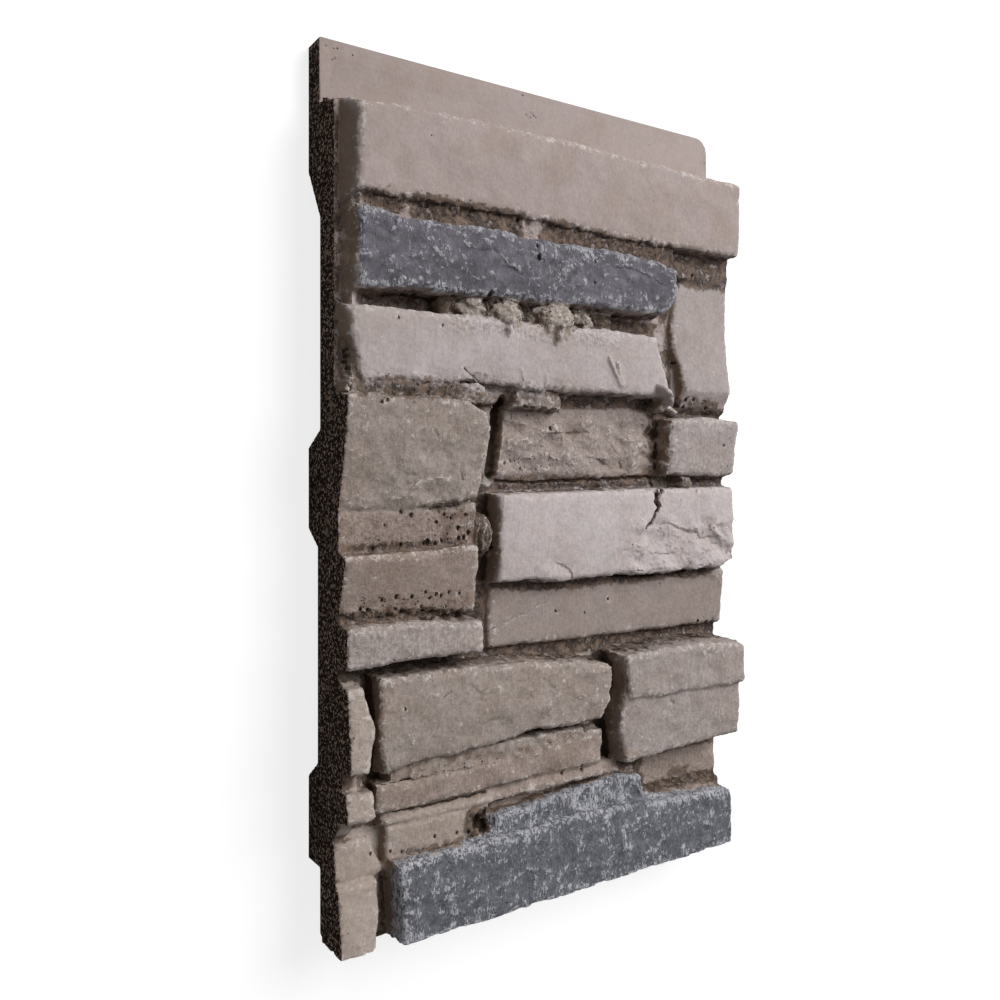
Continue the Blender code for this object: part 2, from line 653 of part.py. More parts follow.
def make_mould(material, collection):
    """The mould's outline as a deep prism, with the tongue's rounded corner at the moulded end."""
    right = PANEL_WIDTH
    outline = [(2 * SAWN, 0.0), (right, 0.0)]
    for step in range(ARC_STEPS + 1):
        angle = math.pi / 2 * step / ARC_STEPS
        outline.append((
            right - TONGUE_CORNER * (1.0 - math.cos(angle)),
            PANEL_HEIGHT - TONGUE_CORNER * (1.0 - math.sin(angle)),
        ))
    outline.append((2 * SAWN, PANEL_HEIGHT))
    return make_prism("mould_outline", outline, SAWN, material, collection)


def make_saw_cut(material, collection):
    """Everything to the left of the saw's cut."""
    top = PANEL_HEIGHT + OVERRUN
    outline = [(3 * SAWN, SAWN), (0.0, SAWN), (0.0, top), (3 * SAWN, top)]
    return make_prism("saw_cut", outline, 2 * SAWN, material, collection)


def make_prism(name, outline, floor, material, collection):
    """Stands an outline up in the plane of the wall, from a floor to above the stones."""
    top = max(COLUMN_SHAPE["heights"]) + 2 * OVERRUN
    bm = bmesh.new()
    lower = new_ring(bm, [(x, y, floor) for x, y in outline])
    upper = new_ring(bm, [(x, y, top) for x, y in outline])
    bridge(bm, lower, upper)
    bm.faces.new(lower)
    bm.faces.new(upper)
    return helper_from(bm, name, material, collection)


def build_panel():
    """Casts the stones into the backing, trims the casting to its mould and saws off one end."""
    clear_scene()
    materials = {name: make_material(name) for name in PALETTE}
    panel_parts = new_collection("faux_stone_panel")
    stones = new_collection("stones")
    cutters = new_collection("cutters")
    panel = make_backing(materials["joint_wash"], panel_parts)
    layout = [*upper_stones(), *centre_stones(), *lower_stones(), *mortar_beds()]
    for seed, (name, finish, box, shape) in enumerate(layout):
        make_stone(name, box, shape, materials[finish], stones, seed)
    make_lumps(materials["joint_wash"], stones)
    cast_in(panel, stones)
    cut_with(panel, make_notch(materials["pale_stone"], cutters), "DIFFERENCE")
    cut_with(panel, make_mould(materials["cast_stone"], cutters), "INTERSECT")
    cut_with(panel, make_saw_cut(materials["sawn_core"], cutters), "DIFFERENCE")


build_panel()
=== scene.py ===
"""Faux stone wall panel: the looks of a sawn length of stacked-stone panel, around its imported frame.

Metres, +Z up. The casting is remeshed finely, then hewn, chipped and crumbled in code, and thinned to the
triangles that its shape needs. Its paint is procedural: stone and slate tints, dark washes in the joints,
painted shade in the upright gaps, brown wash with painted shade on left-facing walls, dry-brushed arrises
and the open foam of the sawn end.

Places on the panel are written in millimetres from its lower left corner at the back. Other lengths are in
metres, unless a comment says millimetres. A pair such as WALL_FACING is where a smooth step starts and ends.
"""

import itertools
import math

import bmesh
import bpy
import numpy as np
from mathutils import Matrix, Vector

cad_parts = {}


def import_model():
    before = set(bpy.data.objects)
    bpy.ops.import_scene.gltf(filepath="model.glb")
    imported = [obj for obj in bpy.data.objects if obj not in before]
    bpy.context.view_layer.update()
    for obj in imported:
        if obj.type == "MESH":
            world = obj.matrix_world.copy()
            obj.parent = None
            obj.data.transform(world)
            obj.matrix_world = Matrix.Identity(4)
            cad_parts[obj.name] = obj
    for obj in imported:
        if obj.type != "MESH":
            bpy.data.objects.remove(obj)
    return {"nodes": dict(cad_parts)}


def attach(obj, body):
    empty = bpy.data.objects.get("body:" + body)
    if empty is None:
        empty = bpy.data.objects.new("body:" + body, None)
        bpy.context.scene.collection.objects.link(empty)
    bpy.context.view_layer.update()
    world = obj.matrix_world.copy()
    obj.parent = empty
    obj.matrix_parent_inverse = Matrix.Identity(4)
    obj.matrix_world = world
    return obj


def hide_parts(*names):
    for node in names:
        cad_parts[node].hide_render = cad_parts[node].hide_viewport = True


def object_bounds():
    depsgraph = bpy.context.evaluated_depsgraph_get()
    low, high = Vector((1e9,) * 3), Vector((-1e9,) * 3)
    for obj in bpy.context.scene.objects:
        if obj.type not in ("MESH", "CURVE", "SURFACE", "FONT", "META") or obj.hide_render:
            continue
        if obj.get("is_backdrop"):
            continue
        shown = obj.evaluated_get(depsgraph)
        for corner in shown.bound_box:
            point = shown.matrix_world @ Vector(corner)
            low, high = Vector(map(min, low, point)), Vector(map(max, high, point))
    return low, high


MM = 0.001

# Mesh density
VOXEL = 0.00066
TRIANGLES = 197000
WELD = 0.00002
KEPT_SHARE, NEIGHBOUR_SHARE = 0.4, 0.6
PLAIN = "plain"
SHARP_ANGLE = math.radians(38)

# Height map of the front, used to tell joints from faces
MAP_FACING = 0.1
MAP_CELL = 0.0005
MAP_MARGIN = 0.02
JOINT_BLUR = 0.0055
WASH_BLUR = 0.0014
RIM_BLUR = 0.004
JOINT_DEPTH = 0.0012
GAP_UPRIGHT = 0.15

# Levels of the casting, and the height below which slate is the foot's
TONGUE_LEVEL = 0.012
STONE_LEVEL = 0.0165
SHOULDER = 0.362
FOOT_TOP = 0.1

# Photograph's camera, in panel coordinates
CAMERA_TURN = math.radians(33.2)
CAMERA_PLACE = Vector((-161.9, 200.18, 403.49)) * MM
FOCAL_SHARE = 0.95445
SENSOR = 36.0
SHIFT_Y = -0.02

# Paint, as it looks in plain light; slate here is the paint of the slate stones' sides
PAINT = {
    "tongue": (165, 151, 147),
    "beige": (166, 152, 148),
    "slate": (166, 152, 148),
    "rose": (169, 159, 157),
    "light": (179, 169, 168),
    "pale": (189, 179, 179),
    "khaki": (157, 145, 138),
    "brown": (154, 141, 136),
    "umber": (145, 129, 121),
    "tan": (155, 139, 131),
    "putty": (163, 152, 148),
    "sand": (171, 158, 150),
    "warm": (157, 142, 134),
    "mortar": (158, 147, 138),
    "knot": (112, 98, 90),
    # brown wash with painted shade for the left-facing walls
    "wall": (141, 122, 108),
    "upper slate": (86, 82, 90),
    "pale upper slate": (106, 102, 110),
    "foot slate": (87, 89, 96),
    "pale foot slate": (115, 116, 123),
    "strand": (204, 204, 210),
    "brushed stone": (208, 199, 194),
    "brushed slate": (180, 181, 188),
    "dirt": (44, 34, 28),
    "pale dirt": (108, 91, 79),
    # painted shade for the upright gaps between stones
    "gap_shade": (56, 46, 39),
    "pit": (42, 31, 25),
    "foam": (52, 43, 38),
    "pale foam": (184, 160, 144),
    "skin": (96, 84, 76),
    "pale skin": (108, 96, 86),
}

# Stones as (left, right, foot, top, paint, relief, flakes, roughness); relief and flakes are in millimetres
STONES = (
    (0, 235, 364, 394, "tongue", 0.05, 0.0, 0.05),
    (0, 235, 319, 364, "beige", 0.30, 0.05, 0.15),
    (0, 193, 279, 318, "slate", 0.50, 0.40, 0.60),
    (193, 235, 238, 318, "rose", 0.30, 0.10, 0.25),
    (0, 190, 240, 279, "light", 0.28, 0.06, 0.25),
    (0, 73, 184, 240, "khaki", 0.85, 0.22, 0.55),
    (73, 184, 199, 240, "brown", 0.50, 0.15, 0.60),
    (184, 235, 199, 236, "rose", 0.40, 0.15, 0.60),
    (0, 70, 169, 188, "umber", 0.40, 0.30, 1.00),
    (0, 70, 140, 169, "tan", 0.40, 0.10, 0.50),
    (0, 70, 118, 139, "putty", 0.40, 0.12, 0.80),
    (76, 235, 150, 199, "pale", 0.18, 0.04, 0.30),
    (76, 235, 117, 150, "brown", 0.22, 0.05, 0.30),
    (0, 14, 75, 117, "sand", 0.30, 0.15, 0.60),
    (14, 148, 73, 117, "khaki", 0.50, 0.25, 0.50),
    (148, 235, 55, 117, "putty", 0.50, 0.20, 0.50),
    (0, 16, 54, 74, "sand", 0.40, 0.20, 0.70),
    (16, 176, 54, 72, "warm", 0.30, 0.22, 0.60),
    (20, 78, 33, 54, "sand", 0.25, 0.10, 0.45),
    (78, 176, 33, 54, "warm", 0.30, 0.22, 0.60),
    (0, 27, 0, 54, "sand", 0.40, 0.12, 0.35),
    (176, 235, 34, 57, "warm", 0.40, 0.30, 0.70),
)

# Patches of broken stone as (left, right, foot, top, flakes); flakes are in millimetres
BROKEN = (
    (158, 240, 146, 181, 0.9), (98, 190, 203, 230, 1.1), (86, 116, 203, 238, 0.9), (20, 70, 184, 206, 0.5),
    (92, 125, 145, 160, 0.5), (100, 150, 72, 116, 0.4), (70, 112, 40, 60, 0.8), (20, 120, 238, 248, 0.5),
)
BROKEN_BORDER = 0.007

# Lower edge of the upper slate and upper edge of the slate at the foot, as x and y
UPPER_SLATE_X = (5, 20, 54, 86, 128, 154, 182)
UPPER_SLATE_Y = (280.8, 282.4, 282.8, 283.2, 285.0, 284.9, 286)
FOOT_SLATE_X = (26, 54, 77, 78.5, 100, 123, 140, 157, 171, 177, 193, 235)
FOOT_SLATE_Y = (34.8, 35.8, 36.4, 44.2, 45.5, 47.4, 48.4, 50, 48.2, 40, 36.4, 36)

# Height that a slate face stands above, in millimetres; the upper one's falls from left to right
UPPER_SLATE_LEVELS = (37.5, 35.3)
UPPER_SLATE_LEFT = 6.6
FOOT_SLATE_LEVEL = 24.5
FOOT_SLATE_LEFT = 25.5

# How far a slate face may lie below the blurred front; at the foot the limit changes at the turn
UPPER_SLATE_SINK = 0.0015
FOOT_SLATE_SINKS = (0.0025, 0.0060)
FOOT_SLATE_TURN = 60

# Lumps of mortar under the upper slate, as centre and radii
LUMPS = (
    ((65, 279.5, 30), (8, 6.2, 6)),
    ((84, 277.5, 30.5), (8.5, 9, 7.5)),
    ((112, 277, 31), (12, 10, 8)),
    ((131, 279, 28.5), (5.5, 5.5, 5)),
)
LUMP_BORDER = (1.05, 1.25)

# Knot beside the left stones, as centre and radii
KNOT = ((72.7, 174), (6, 14))
KNOT_RINGS = 2.7
KNOT_RING_HEIGHT = 0.6
KNOT_BORDER = 1.15

# Beds of mortar that fill a joint, as the joint's box (left, right, foot, top) and the bed's height along x
BEDS = (
    ((8, 240, 308, 324.5), (8, 45, 85, 97, 106, 125, 188, 194, 240),
     (36.5, 36, 35.4, 35.9, 35.4, 34.6, 33.4, 28, 28)),
    ((3, 72, 234, 244), (3, 72), (35.2, 34.6)),
    ((89, 118, 234, 245), (89, 118), (32.6, 31.4)),
    ((197, 205, 196, 202), (197, 205), (31, 31)),
    ((22, 132, 68.8, 79), (22, 60, 100, 132), (33.3, 33, 32.6, 31.4)),
)
BED_SOFT = 0.0012
BED_ROUGHNESS = 1.1
BED_NOISE = {"scale": 0.0085, "seed": 81}
FLATTENED = (1.0, 1.0, 0.0)
BED_EDGES = (
    (0.0024, {"scale": 0.0065, "seed": 83}),
    (0.0010, {"scale": 0.0050, "seed": 85}),
)

# Gap that gets none of the painted gap shade, as (left, right, foot, top)
LIT_GAP = (12, 36, -9, 57)
LIT_GAP_SOFT = 0.002

# Stained places as (left, right, foot, top, strength)
STAINS = (
    (9, 29, 316, 323.5, 0.75), (31, 92, 309, 325, 0.82), (101, 122, 308, 324, 0.80),
    (120, 240, 304, 322, 0.76), (5, 62, 234, 246, 0.60), (60, 118, 236, 248, 0.44),
    (160, 240, 147, 180, 0.15), (118, 182, 239, 242, 0.50), (84, 206, 195, 203, 0.60),
    (176, 186, 199, 210, 0.60), (50, 71, 171, 187, 0.48), (34, 66, 170, 175, 0.45),
    (10, 66, 141, 151, 0.40), (78, 232, 115, 120, 0.60), (20, 146, 71, 76, 0.45), (63, 80, 33, 50, 0.85),
    (196, 216, 36, 44, 0.60), (193, 232, 236, 245, 0.62), (0, 9, 242, 262, 0.35),
)
STAIN_SOFT = 0.003

# Joints full of crumbled mortar, as (left, right, foot, top)
CRUMBS = (
    (10, 190, 317, 323), (4, 118, 235, 246), (52, 152, 266, 285), (0, 72, 137, 146), (40, 80, 165, 176),
    (74, 186, 196, 201), (150, 180, 34, 60), (64, 80, 34, 50), (193, 216, 36, 45),
)
CRUMB_SOFT = 0.002
BED_CRUMB_SOFT = 0.001

# Places with many small pits, as (left, right, foot, top)
POROUS = (
    (24, 120, 317, 323), (22, 76, 236, 246), (40, 70, 170, 187), (14, 40, 169, 175), (8, 64, 141, 151),
    (88, 122, 203, 212), (88, 104, 228, 237), (197, 224, 238, 246), (50, 80, 69, 73), (114, 128, 72, 77),
    (64, 80, 34, 48), (108, 118, 380, 384), (192, 216, 36, 45), (212, 232, 119, 124), (2, 7, 244, 258),
    (160, 182, 226, 236),
)
POROUS_SOFT = 0.002

# Pits as (x, y, radius)
PITS = (
    (7.4, 386.2, 0.7), (6.4, 384.8, 0.6), (3.4, 390.7, 0.5), (81.9, 382.4, 0.5), (109.8, 382.3, 0.6),
    (112.2, 381.9, 0.6), (114.1, 383.5, 0.5), (115.9, 382.6, 0.6), (108, 391.8, 0.6), (40.8, 350.2, 0.6),
    (40.3, 320.1, 1), (88.7, 321.2, 1), (99.2, 304.8, 1.5), (98.3, 309.9, 0.9), (132.8, 307.3, 0.9),
    (132.4, 296.5, 0.9), (72.2, 284.4, 1.7), (26.3, 270, 0.6), (47.9, 268.7, 0.6), (4.1, 255.1, 0.9),
    (4.6, 252.6, 0.9), (4.4, 250.1, 0.9), (4.8, 247.5, 0.9), (197.8, 263, 0.8), (207.8, 310.8, 0.8),
    (15.3, 232.9, 0.7), (17.9, 233.8, 0.7), (29.6, 186.2, 1), (34.5, 184.9, 1), (47.9, 181.4, 0.9),
    (51.4, 184.6, 0.9), (55, 183.1, 0.8), (58.6, 178.5, 1), (62.7, 184.4, 0.9), (64, 176.2, 1.2),
    (61.4, 174.1, 1.3), (42.9, 172.7, 1.4), (41, 172.2, 1), (50.2, 172.9, 1.1), (46.6, 172, 1),
    (58.7, 173.7, 1.1), (29.8, 171.8, 0.9), (16.6, 170.5, 0.8), (21.7, 180.6, 0.7), (19.7, 148.6, 1),
    (26.5, 149.6, 1), (26.7, 144.3, 0.8), (30.3, 143, 0.8), (34, 149.1, 0.9), (40.7, 150.9, 0.9),
    (45.9, 149.4, 0.8), (48.5, 148.7, 0.8), (52.5, 150.1, 0.8), (58.2, 149.2, 0.9), (10, 145.6, 0.9),
    (13.5, 144.8, 0.9), (52.2, 143.5, 0.7), (40.8, 142.3, 0.8), (43.1, 148, 0.8), (39.3, 144.5, 0.8),
    (115.2, 225.2, 1), (89.3, 208.3, 0.8), (93.5, 209, 0.8), (99, 205.6, 0.9), (121, 234.1, 0.8),
    (151.6, 139.4, 0.7), (118.6, 135.4, 0.6), (136.7, 133.6, 0.6), (187.4, 144.6, 0.6), (217.7, 122.4, 0.9),
    (224.8, 121.2, 1), (229.4, 121.4, 0.9), (225.9, 219.1, 0.8), (204.5, 243.6, 1.1), (204.2, 239.7, 1),
    (209.8, 243.8, 1), (220.5, 239.6, 1), (200.4, 240.4, 1), (28.7, 101.7, 0.7), (130.9, 58.5, 1),
    (132.1, 56, 1.1), (119.4, 56.7, 1), (47.9, 40.4, 0.8), (59.4, 39.7, 0.9), (65.3, 39, 1),
    (25.7, 38.1, 0.8), (31.5, 36.9, 0.8), (17.4, 37.9, 0.7), (70.2, 42.6, 3), (73.6, 39.6, 3.2),
    (74.2, 45.4, 2.2),
)
PIT_STRETCH = 1.5
PIT_WALL = (0.30, 1.05)
PIT_DEPTH = 1.2

# Cracks and clefts as (depth, half width, path)
CRACKS = (
    (0.4, 0.6, ((41.5, 221.9), (44.4, 218.3))),
    (0.4, 0.6, ((56.3, 207.5), (57.9, 200.2))),
    (0.9, 0.7, ((94.8, 235.3), (101.4, 234.8))),
    (4.5, 2.6, ((84.5, 237), (85, 226), (83, 213), (82, 203))),
    (1.1, 0.9, ((85, 199.9), (104.7, 199.2), (129, 200), (154.6, 201), (183, 202))),
    (1.8, 1, ((182.4, 198.5), (182.4, 194.5), (176.6, 189.3), (179.4, 186.9), (176, 182.4), (173.8, 178),
              (169.6, 175.7))),
    (0.4, 0.40, ((78, 128), (82.2, 129.8), (93.9, 134.4), (100.8, 136), (107.6, 139.9), (114.6, 140.9))),
    (0.6, 0.5, ((59.4, 250), (66.2, 246.1), (69.1, 244.5))),
    (0.9, 0.6, ((19.1, 56), (49.5, 55.1), (74.5, 55.7))),
    (0.5, 0.5, ((47, 104), (52, 106.5))),
    (0.6, 0.6, ((44, 187.5), (60, 189))),
)

# Ridges and drips as (height, half width, path)
RIDGES = (
    (5.5, 2.8, ((178, 247), (187, 241), (196.5, 236))),
    (1.1, 1.3, ((143.7, 261), (147, 255.2), (151.3, 247.6))),
    (1, 1.1, ((148.8, 258.5), (153, 247.7))),
    (0.6, 0.7, ((105.1, 250.4), (104.1, 243.8))),
    (0.5, 0.6, ((90.3, 252), (92, 246.9))),
    (0.8, 0.8, ((112, 47), (112.5, 42))),
    (0.9, 0.9, ((118.4, 46.8), (118.8, 41))),
    (0.8, 0.8, ((124, 47.5), (124.4, 42))),
    (0.9, 1.2, ((163, 49), (167, 44), (171, 38))),
    (0.6, 0.7, ((101, 316), (102.5, 311), (102, 303))),
    (1.2, 1.6, ((30, 283.5), (32.5, 279.5))),
    (2, 2.6, ((112.6, 272.4), (111.4, 268.8))),
    (1.3, 1.4, ((111.4, 268.8), (110.4, 265.8))),
    (1.5, 2.4, ((84.2, 272.8), (83.2, 270))),
    (1, 1.3, ((83.2, 270), (82.6, 267.8))),
)

# Broken edges as (depth, reach, path): the ground on the right of the path lies deeper
SCARPS = (
    (0.6, 5, ((29.2, 318.9), (23.7, 310.1), (20.8, 305.4), (17.5, 302.8))),
    (0.7, 6, ((54.3, 303.7), (74.9, 305.2), (80.6, 299.5), (96.5, 293.7))),
    (0.8, 5, ((140.8, 305.1), (152, 307.4), (169, 304.5), (185.7, 300.1))),
    (0.5, 4, ((138, 304.1), (136, 290.1), (147.8, 288.8))),
    (1, 8, ((55.4, 201.7), (44.4, 201.1), (36.2, 200.2), (32.9, 197), (31.8, 192))),
    (1, 6, ((108, 220), (117, 223.1), (133.8, 225), (146.9, 223.9))),
    (0.9, 5, ((135.5, 212.5), (147, 211.1), (159.1, 205.2))),
    (0.9, 3.5, ((159, 212.8), (163.3, 205.2))),
    (0.8, 4, ((173, 234.6), (170.8, 228.5), (166.7, 225.2), (158, 224))),
    (1.1, 9, ((174.8, 178), (186.2, 177.7), (194.8, 175), (206, 172.3), (210.1, 169), (224.2, 170.1),
              (233.6, 165))),
    (1, 5, ((169.5, 166.6), (174, 162), (190.8, 162), (195, 163.3))),
    (0.7, 8, ((147.6, 160.9), (153.5, 165), (167.3, 166.4))),
    (1.1, 5, ((110.2, 161.1), (116.3, 159.4), (120.9, 156.3), (122.5, 151))),
    (0.8, 3, ((182.8, 86.6), (186.2, 84.8), (185.7, 81.6))),
    (0.6, 4, ((204.7, 109), (208.7, 108.4), (214.7, 106.7), (219, 107.5))),
    (0.5, 3, ((210, 84), (214, 81.3), (219.3, 82.6))),
    (0.5, 4, ((60, 110), (67, 104), (76, 103))),
    (0.5, 4, ((80, 98), (88, 102), (97, 99))),
    (0.5, 4, ((98, 110), (106, 104), (112, 99))),
    (0.5, 4, ((66, 90), (78, 91), (86, 87))),
    (0.5, 4, ((112, 92), (120, 95), (128, 93))),
)
SCARP_ENDS = 0.2
SCARP_RISER = (-0.2 * MM, 0.5 * MM)
SCARP_FADE = 0.8

# Lines of all three kinds: how they change the depth, how far they reach and how dark or bright they are
CUT, RAISED, STEP = 1, -1, 0
LINES = [
    (kind, *line) for kind, group in ((CUT, CRACKS), (RAISED, RIDGES), (STEP, SCARPS)) for line in group
]
LINE_REACH = 3.0
LINE_PROFILE = (0.2, 1.3)
LINE_TONE = 0.9

# How noise shakes the outlines of lines and pits, as (reach in millimetres, scale, seeds)
LINE_SHAKE = (0.7, 0.0035, (71, 72))
PIT_SHAKE = (0.45, 0.0017, (73, 74))

# Split faces: raggedness across the face as (share, scale, seed step), swells, flakes and folds
FRONT_EDGE = 0.0015
SHOULDER_REACH = 0.004
SHOULDER_SOFT = 0.002
RAGGED = ((0.35, 0.0115, 0), (0.5, 0.0046, 1), (0.45, 0.0023, 2))
RAGGED_SEEDS = (11, 21)
RAGGED_LEAST = 0.45 * MM
RAGGED_FLAKES = 0.6
SLATE_RELIEF = 0.45 * MM
SLATE_FLAKES = 0.4 * MM
SWELL = {"scale": 0.013, "seed": 31, "layers": 4}
SPLIT = {"scale": 0.015, "seed": 41}
SPLIT_STRETCH = (1.0, 1.6, 1.0)
SPLIT_STEPS = 2
SPLIT_RISER = 0.14
FOLDS = {"scale": 0.021, "seed": 91, "layers": 2, "fade": 0.35}
FOLD_STRETCH = (1.0, 1.8, 1.0)
FOLD_BEND = 0.004
FOLD_BEND_NOISE = {"scale": 0.02, "seed": 95}
FLAKE_SPLIT, FLAKE_FOLD, FLAKE_LIFT = 1.2, 2.8, 0.7

# Wear of the arrises
WEAR_ROUNDS = 9
CHIPS = {"scale": 0.005, "seed": 51, "fade": 0.7}
CHIP_RANGE = (0.25, 0.6)
WEAR_LEAST, WEAR_CHIPPED = 0.05, 2.0
STONE_EDGE = 0.002

# Crumbled mortar: where it lies, how much of it and how coarse
JOINT_SINK = (0.0005, 0.0035)
JOINT_FACING = (-0.4, 0.3)
JOINT_BESIDE = 0.5
CRUMB_SHOULDER = 0.001
CRUMB_LEAST, CRUMB_MORE, CRUMB_LUMPS, CRUMB_BEDS = 0.35, 1.2, 0.8, 0.9
COARSE_GRAINS = (0.9, {"scale": 0.0042, "seed": 61})
FINE_GRAINS = (0.7, {"scale": 0.0021, "seed": 62})
GRAIN_SWELL = (0.9, {"scale": 0.006, "seed": 63})
GRAIN_DROP = 0.6
GRAIN_SIZE = 0.6
MARK_FACING = (0.1, 0.5)
LEAST_AMOUNT = 0.01

# What counts as plain and may be thinned: marks in metres and darkness, both less on the screw tongue
PLAIN_MARK = 0.12 * MM
PLAIN_DARK = 0.05
TONGUE_PLAIN = 0.1

# Where each paint goes: a facing is a normal's component, a sink is a depth below the blurred front
FRONT_PAINT_EDGE = 0.001
SAWN_PLACE = 0.0006
SAWN_FACING = -0.5
STEEP_FACING = (0.0, 0.5)
STEEP_FROM = 0.75
STEEP_SINK = (-0.003, 0.001)
STEEP_WASH = 0.6
# Left-facing walls get a smooth brown wash with painted shade, in place of most of the ragged wash
WALL_FACING = (0.45, 0.8)
WALL_SINK = (-0.006, -0.001)
WALL_SPARED = 0.8
WASH_NEAR, WASH_DEEP = 0.9, 0.7
WASH_SINK = (0.0008, 0.004)
INNER_BORDER = (0.0030, 0.0060)
INNER_FACING = (0.5, 0.9)
INNER_SPARED = 0.8
LUMPS_SPARED = 0.6
# Painted shade in the upright gaps: how deep a gap must be, where it starts past the sawn end, how much the
# knot keeps
GAP_SHADE_DEPTH = (0.0015, 0.0060)
GAP_SHADE_LEFT = 0.008
KNOT_GAP_SHADE = 0.4
PROUD_ROUNDS = 1
PROUD_HEIGHT = (0.00005, 0.00016)
PROUD_SINK = 0.002
PROUD_SOFT = (0.0, 0.003)
PROUD_CRUMBS = 0.9
PROUD_MARKS = 0.7
FOOT_ROUGHNESS = 0.95
CRUMB_ROUGHNESS = 0.9
FOOT_SOFT = (0.0, 0.01)

# Values that the mesh stores for the paint, one a point
POINT_VALUES = (
    "slate", "foot", "gap_shade", "wash", "rim", "proud", "rough", "porous", "dark", "sawn", "painted",
)

# Noise of the paint as (scale, detail, roughness), the scale in features a metre, and how some is stretched
GRAIN = (1700.0, 2.0, 0.6)
FINE = (560.0, 4.0, 0.62)
COARSE = (210.0, 4.0, 0.6)
MOTTLE = (48.0, 2.0, 0.55)
STREAKS = (1100.0, 2.0, 0.55)
CLUSTERS = (190.0, 3.0, 0.6)
SPARSE = (42.0, 3.0, 0.55)
PATCHES = (260.0, 1.0, 0.55)
OPEN_CELLS = (700.0, 2.0, 0.8)
STREAK_STRETCH = (1.0, 0.14, 1.0)
STRAND_STRETCH = (1.0, 0.34, 1.0)
CLUSTER_STRETCH = (1.0, 0.40, 1.0)

# Strands of the slates: scale and strength, what the foot adds to them, and (detail, roughness, distortion)
STRAND_SCALE, STRAND_SCALE_FOOT = 1800.0, -500.0
STRAND_STRENGTH, STRAND_STRENGTH_FOOT = 0.67, 0.19
STRAND_NOISE = (3.0, 0.7, 0.9)

# Cells of the paint's pits, in cells a metre
PORE_CELLS = 330.0
CLUSTER_CELLS = 560.0

# The paint's ramps as (low, high), or as (low, high, start, end)
RAMPS = {
    "shade": (0.38, 0.62, -1.0, 1.0), "warmth": (0.40, 0.65), "cover": (1.18, 1.95),
    "strand": (0.62, 0.73), "upper slate": (0.42, 0.60), "brushed": (1.34, 1.52),
    "beside": (1.32, 1.50), "near": (0.02, 0.15), "soaked": (1.72, 2.18),
    "dirt": (0.42, 0.60), "gap_shade": (0.68, 1.08), "pore": (0.10, 0.17, 1.0, 0.0),
    "sparse": (0.64, 0.68), "cluster": (0.20, 0.34, 1.0, 0.0), "patches": (0.50, 0.58),
    "dark": (0.90, 1.20), "foam": (0.535, 0.60), "skin": (0.3, 0.7),
}

# Mottling from bright to warm, how much of each coat covers what lies under it, and the finish; the coat of
# the upright gaps is painted shade
BRIGHT_MOTTLE = (1.03, 1.03, 1.03, 1.0)
WARM_MOTTLE = (0.96, 0.935, 0.90, 1.0)
COATS = {"brushed": 0.7, "beside": 0.5, "wash": 0.88, "gap_shade": 0.85, "pits": 0.85, "soaked pits": 0.7}
STONE_ROUGHNESS, SLATE_ROUGHNESS = 0.82, 0.65
SPECULAR = 0.25
BUMP_STRENGTH = 0.75
BUMP_DISTANCE = 0.0008

# Floor and light
FLOOR_HALF = 6.0
FLOOR_GREY = 0.32
FLOOR_GLOW = 0.80
LAMP_SIZE = 1.4
LAMP_POWER = 33.0
LAMP_PLACE = (0.75, 0.85, 1.30)
WORLD_LIGHT = 0.17


def smoothstep(value, low, high):
    share = np.clip((value - low) / (high - low), 0.0, 1.0)
    return share * share * (3.0 - 2.0 * share)


def hashed(cells, seed):
    """Repeatable whole numbers below 2**32 for an array of lattice cells."""
    x, y, z = cells.T
    value = x * 0x8DA6B343 + y * 0xD8163841 + z * 0xCB1AB31F + seed * 0x9E3779B1
    value &= 0xFFFFFFFF
    value = ((value ^ (value >> 15)) * 0x2C1B3C6D) & 0xFFFFFFFF
    value = ((value ^ (value >> 12)) * 0x297A2D39) & 0xFFFFFFFF
    return value ^ (value >> 15)


def noise(points, scale, seed):
    """Gradient noise from about -1 to 1, with features about scale across."""
    places = points / scale
    cells = np.floor(places).astype(np.int64)
    rest = places - cells
    ease = rest * rest * rest * (rest * (rest * 6.0 - 15.0) + 10.0)
    total = np.zeros(len(points))
    for corner in itertools.product((0, 1), repeat=3):
        value = hashed(cells + corner, seed)
        away = rest - corner
        weight = np.ones(len(points))
        slope = np.zeros(len(points))
        for axis in range(3):
            weight *= ease[:, axis] if corner[axis] else 1.0 - ease[:, axis]
            slope += away[:, axis] * (1.0 - 2.0 * ((value >> axis) & 1))
        total += weight * slope
    return total


def layered(points, scale, seed, layers=3, fade=0.5):
    """Noise with finer and fainter layers."""
    total = np.zeros(len(points))
    strength = 1.0
    for layer in range(layers):
        total += strength * noise(points, scale * 0.5 ** layer, seed + 17 * layer)
        strength *= fade
    return total


def grains(points, scale, seed):
    """Rounded grains about scale across: 1 at the middle of a grain and 0 between grains."""
    places = points / scale
    cells = np.floor(places).astype(np.int64)
    nearest = np.full(len(points), np.inf)
    for offset in itertools.product((-1, 0, 1), repeat=3):
        value = hashed(cells + offset, seed)
        jitter = np.stack([(value >> shift) & 0x3FF for shift in (0, 10, 20)], axis=1) / 1023.0
        away = cells + offset + jitter - places
        nearest = np.minimum(nearest, (away * away).sum(axis=1))
    return np.clip(1.0 - nearest / GRAIN_SIZE, 0.0, 1.0)


def stepped(value, count, riser):
    """Turns a smooth field into flat steps whose risers take the given share of each step."""
    scaled = value * count
    base = np.floor(scaled)
    return (base + smoothstep(scaled - base, 0.5 - riser / 2, 0.5 + riser / 2)) / count


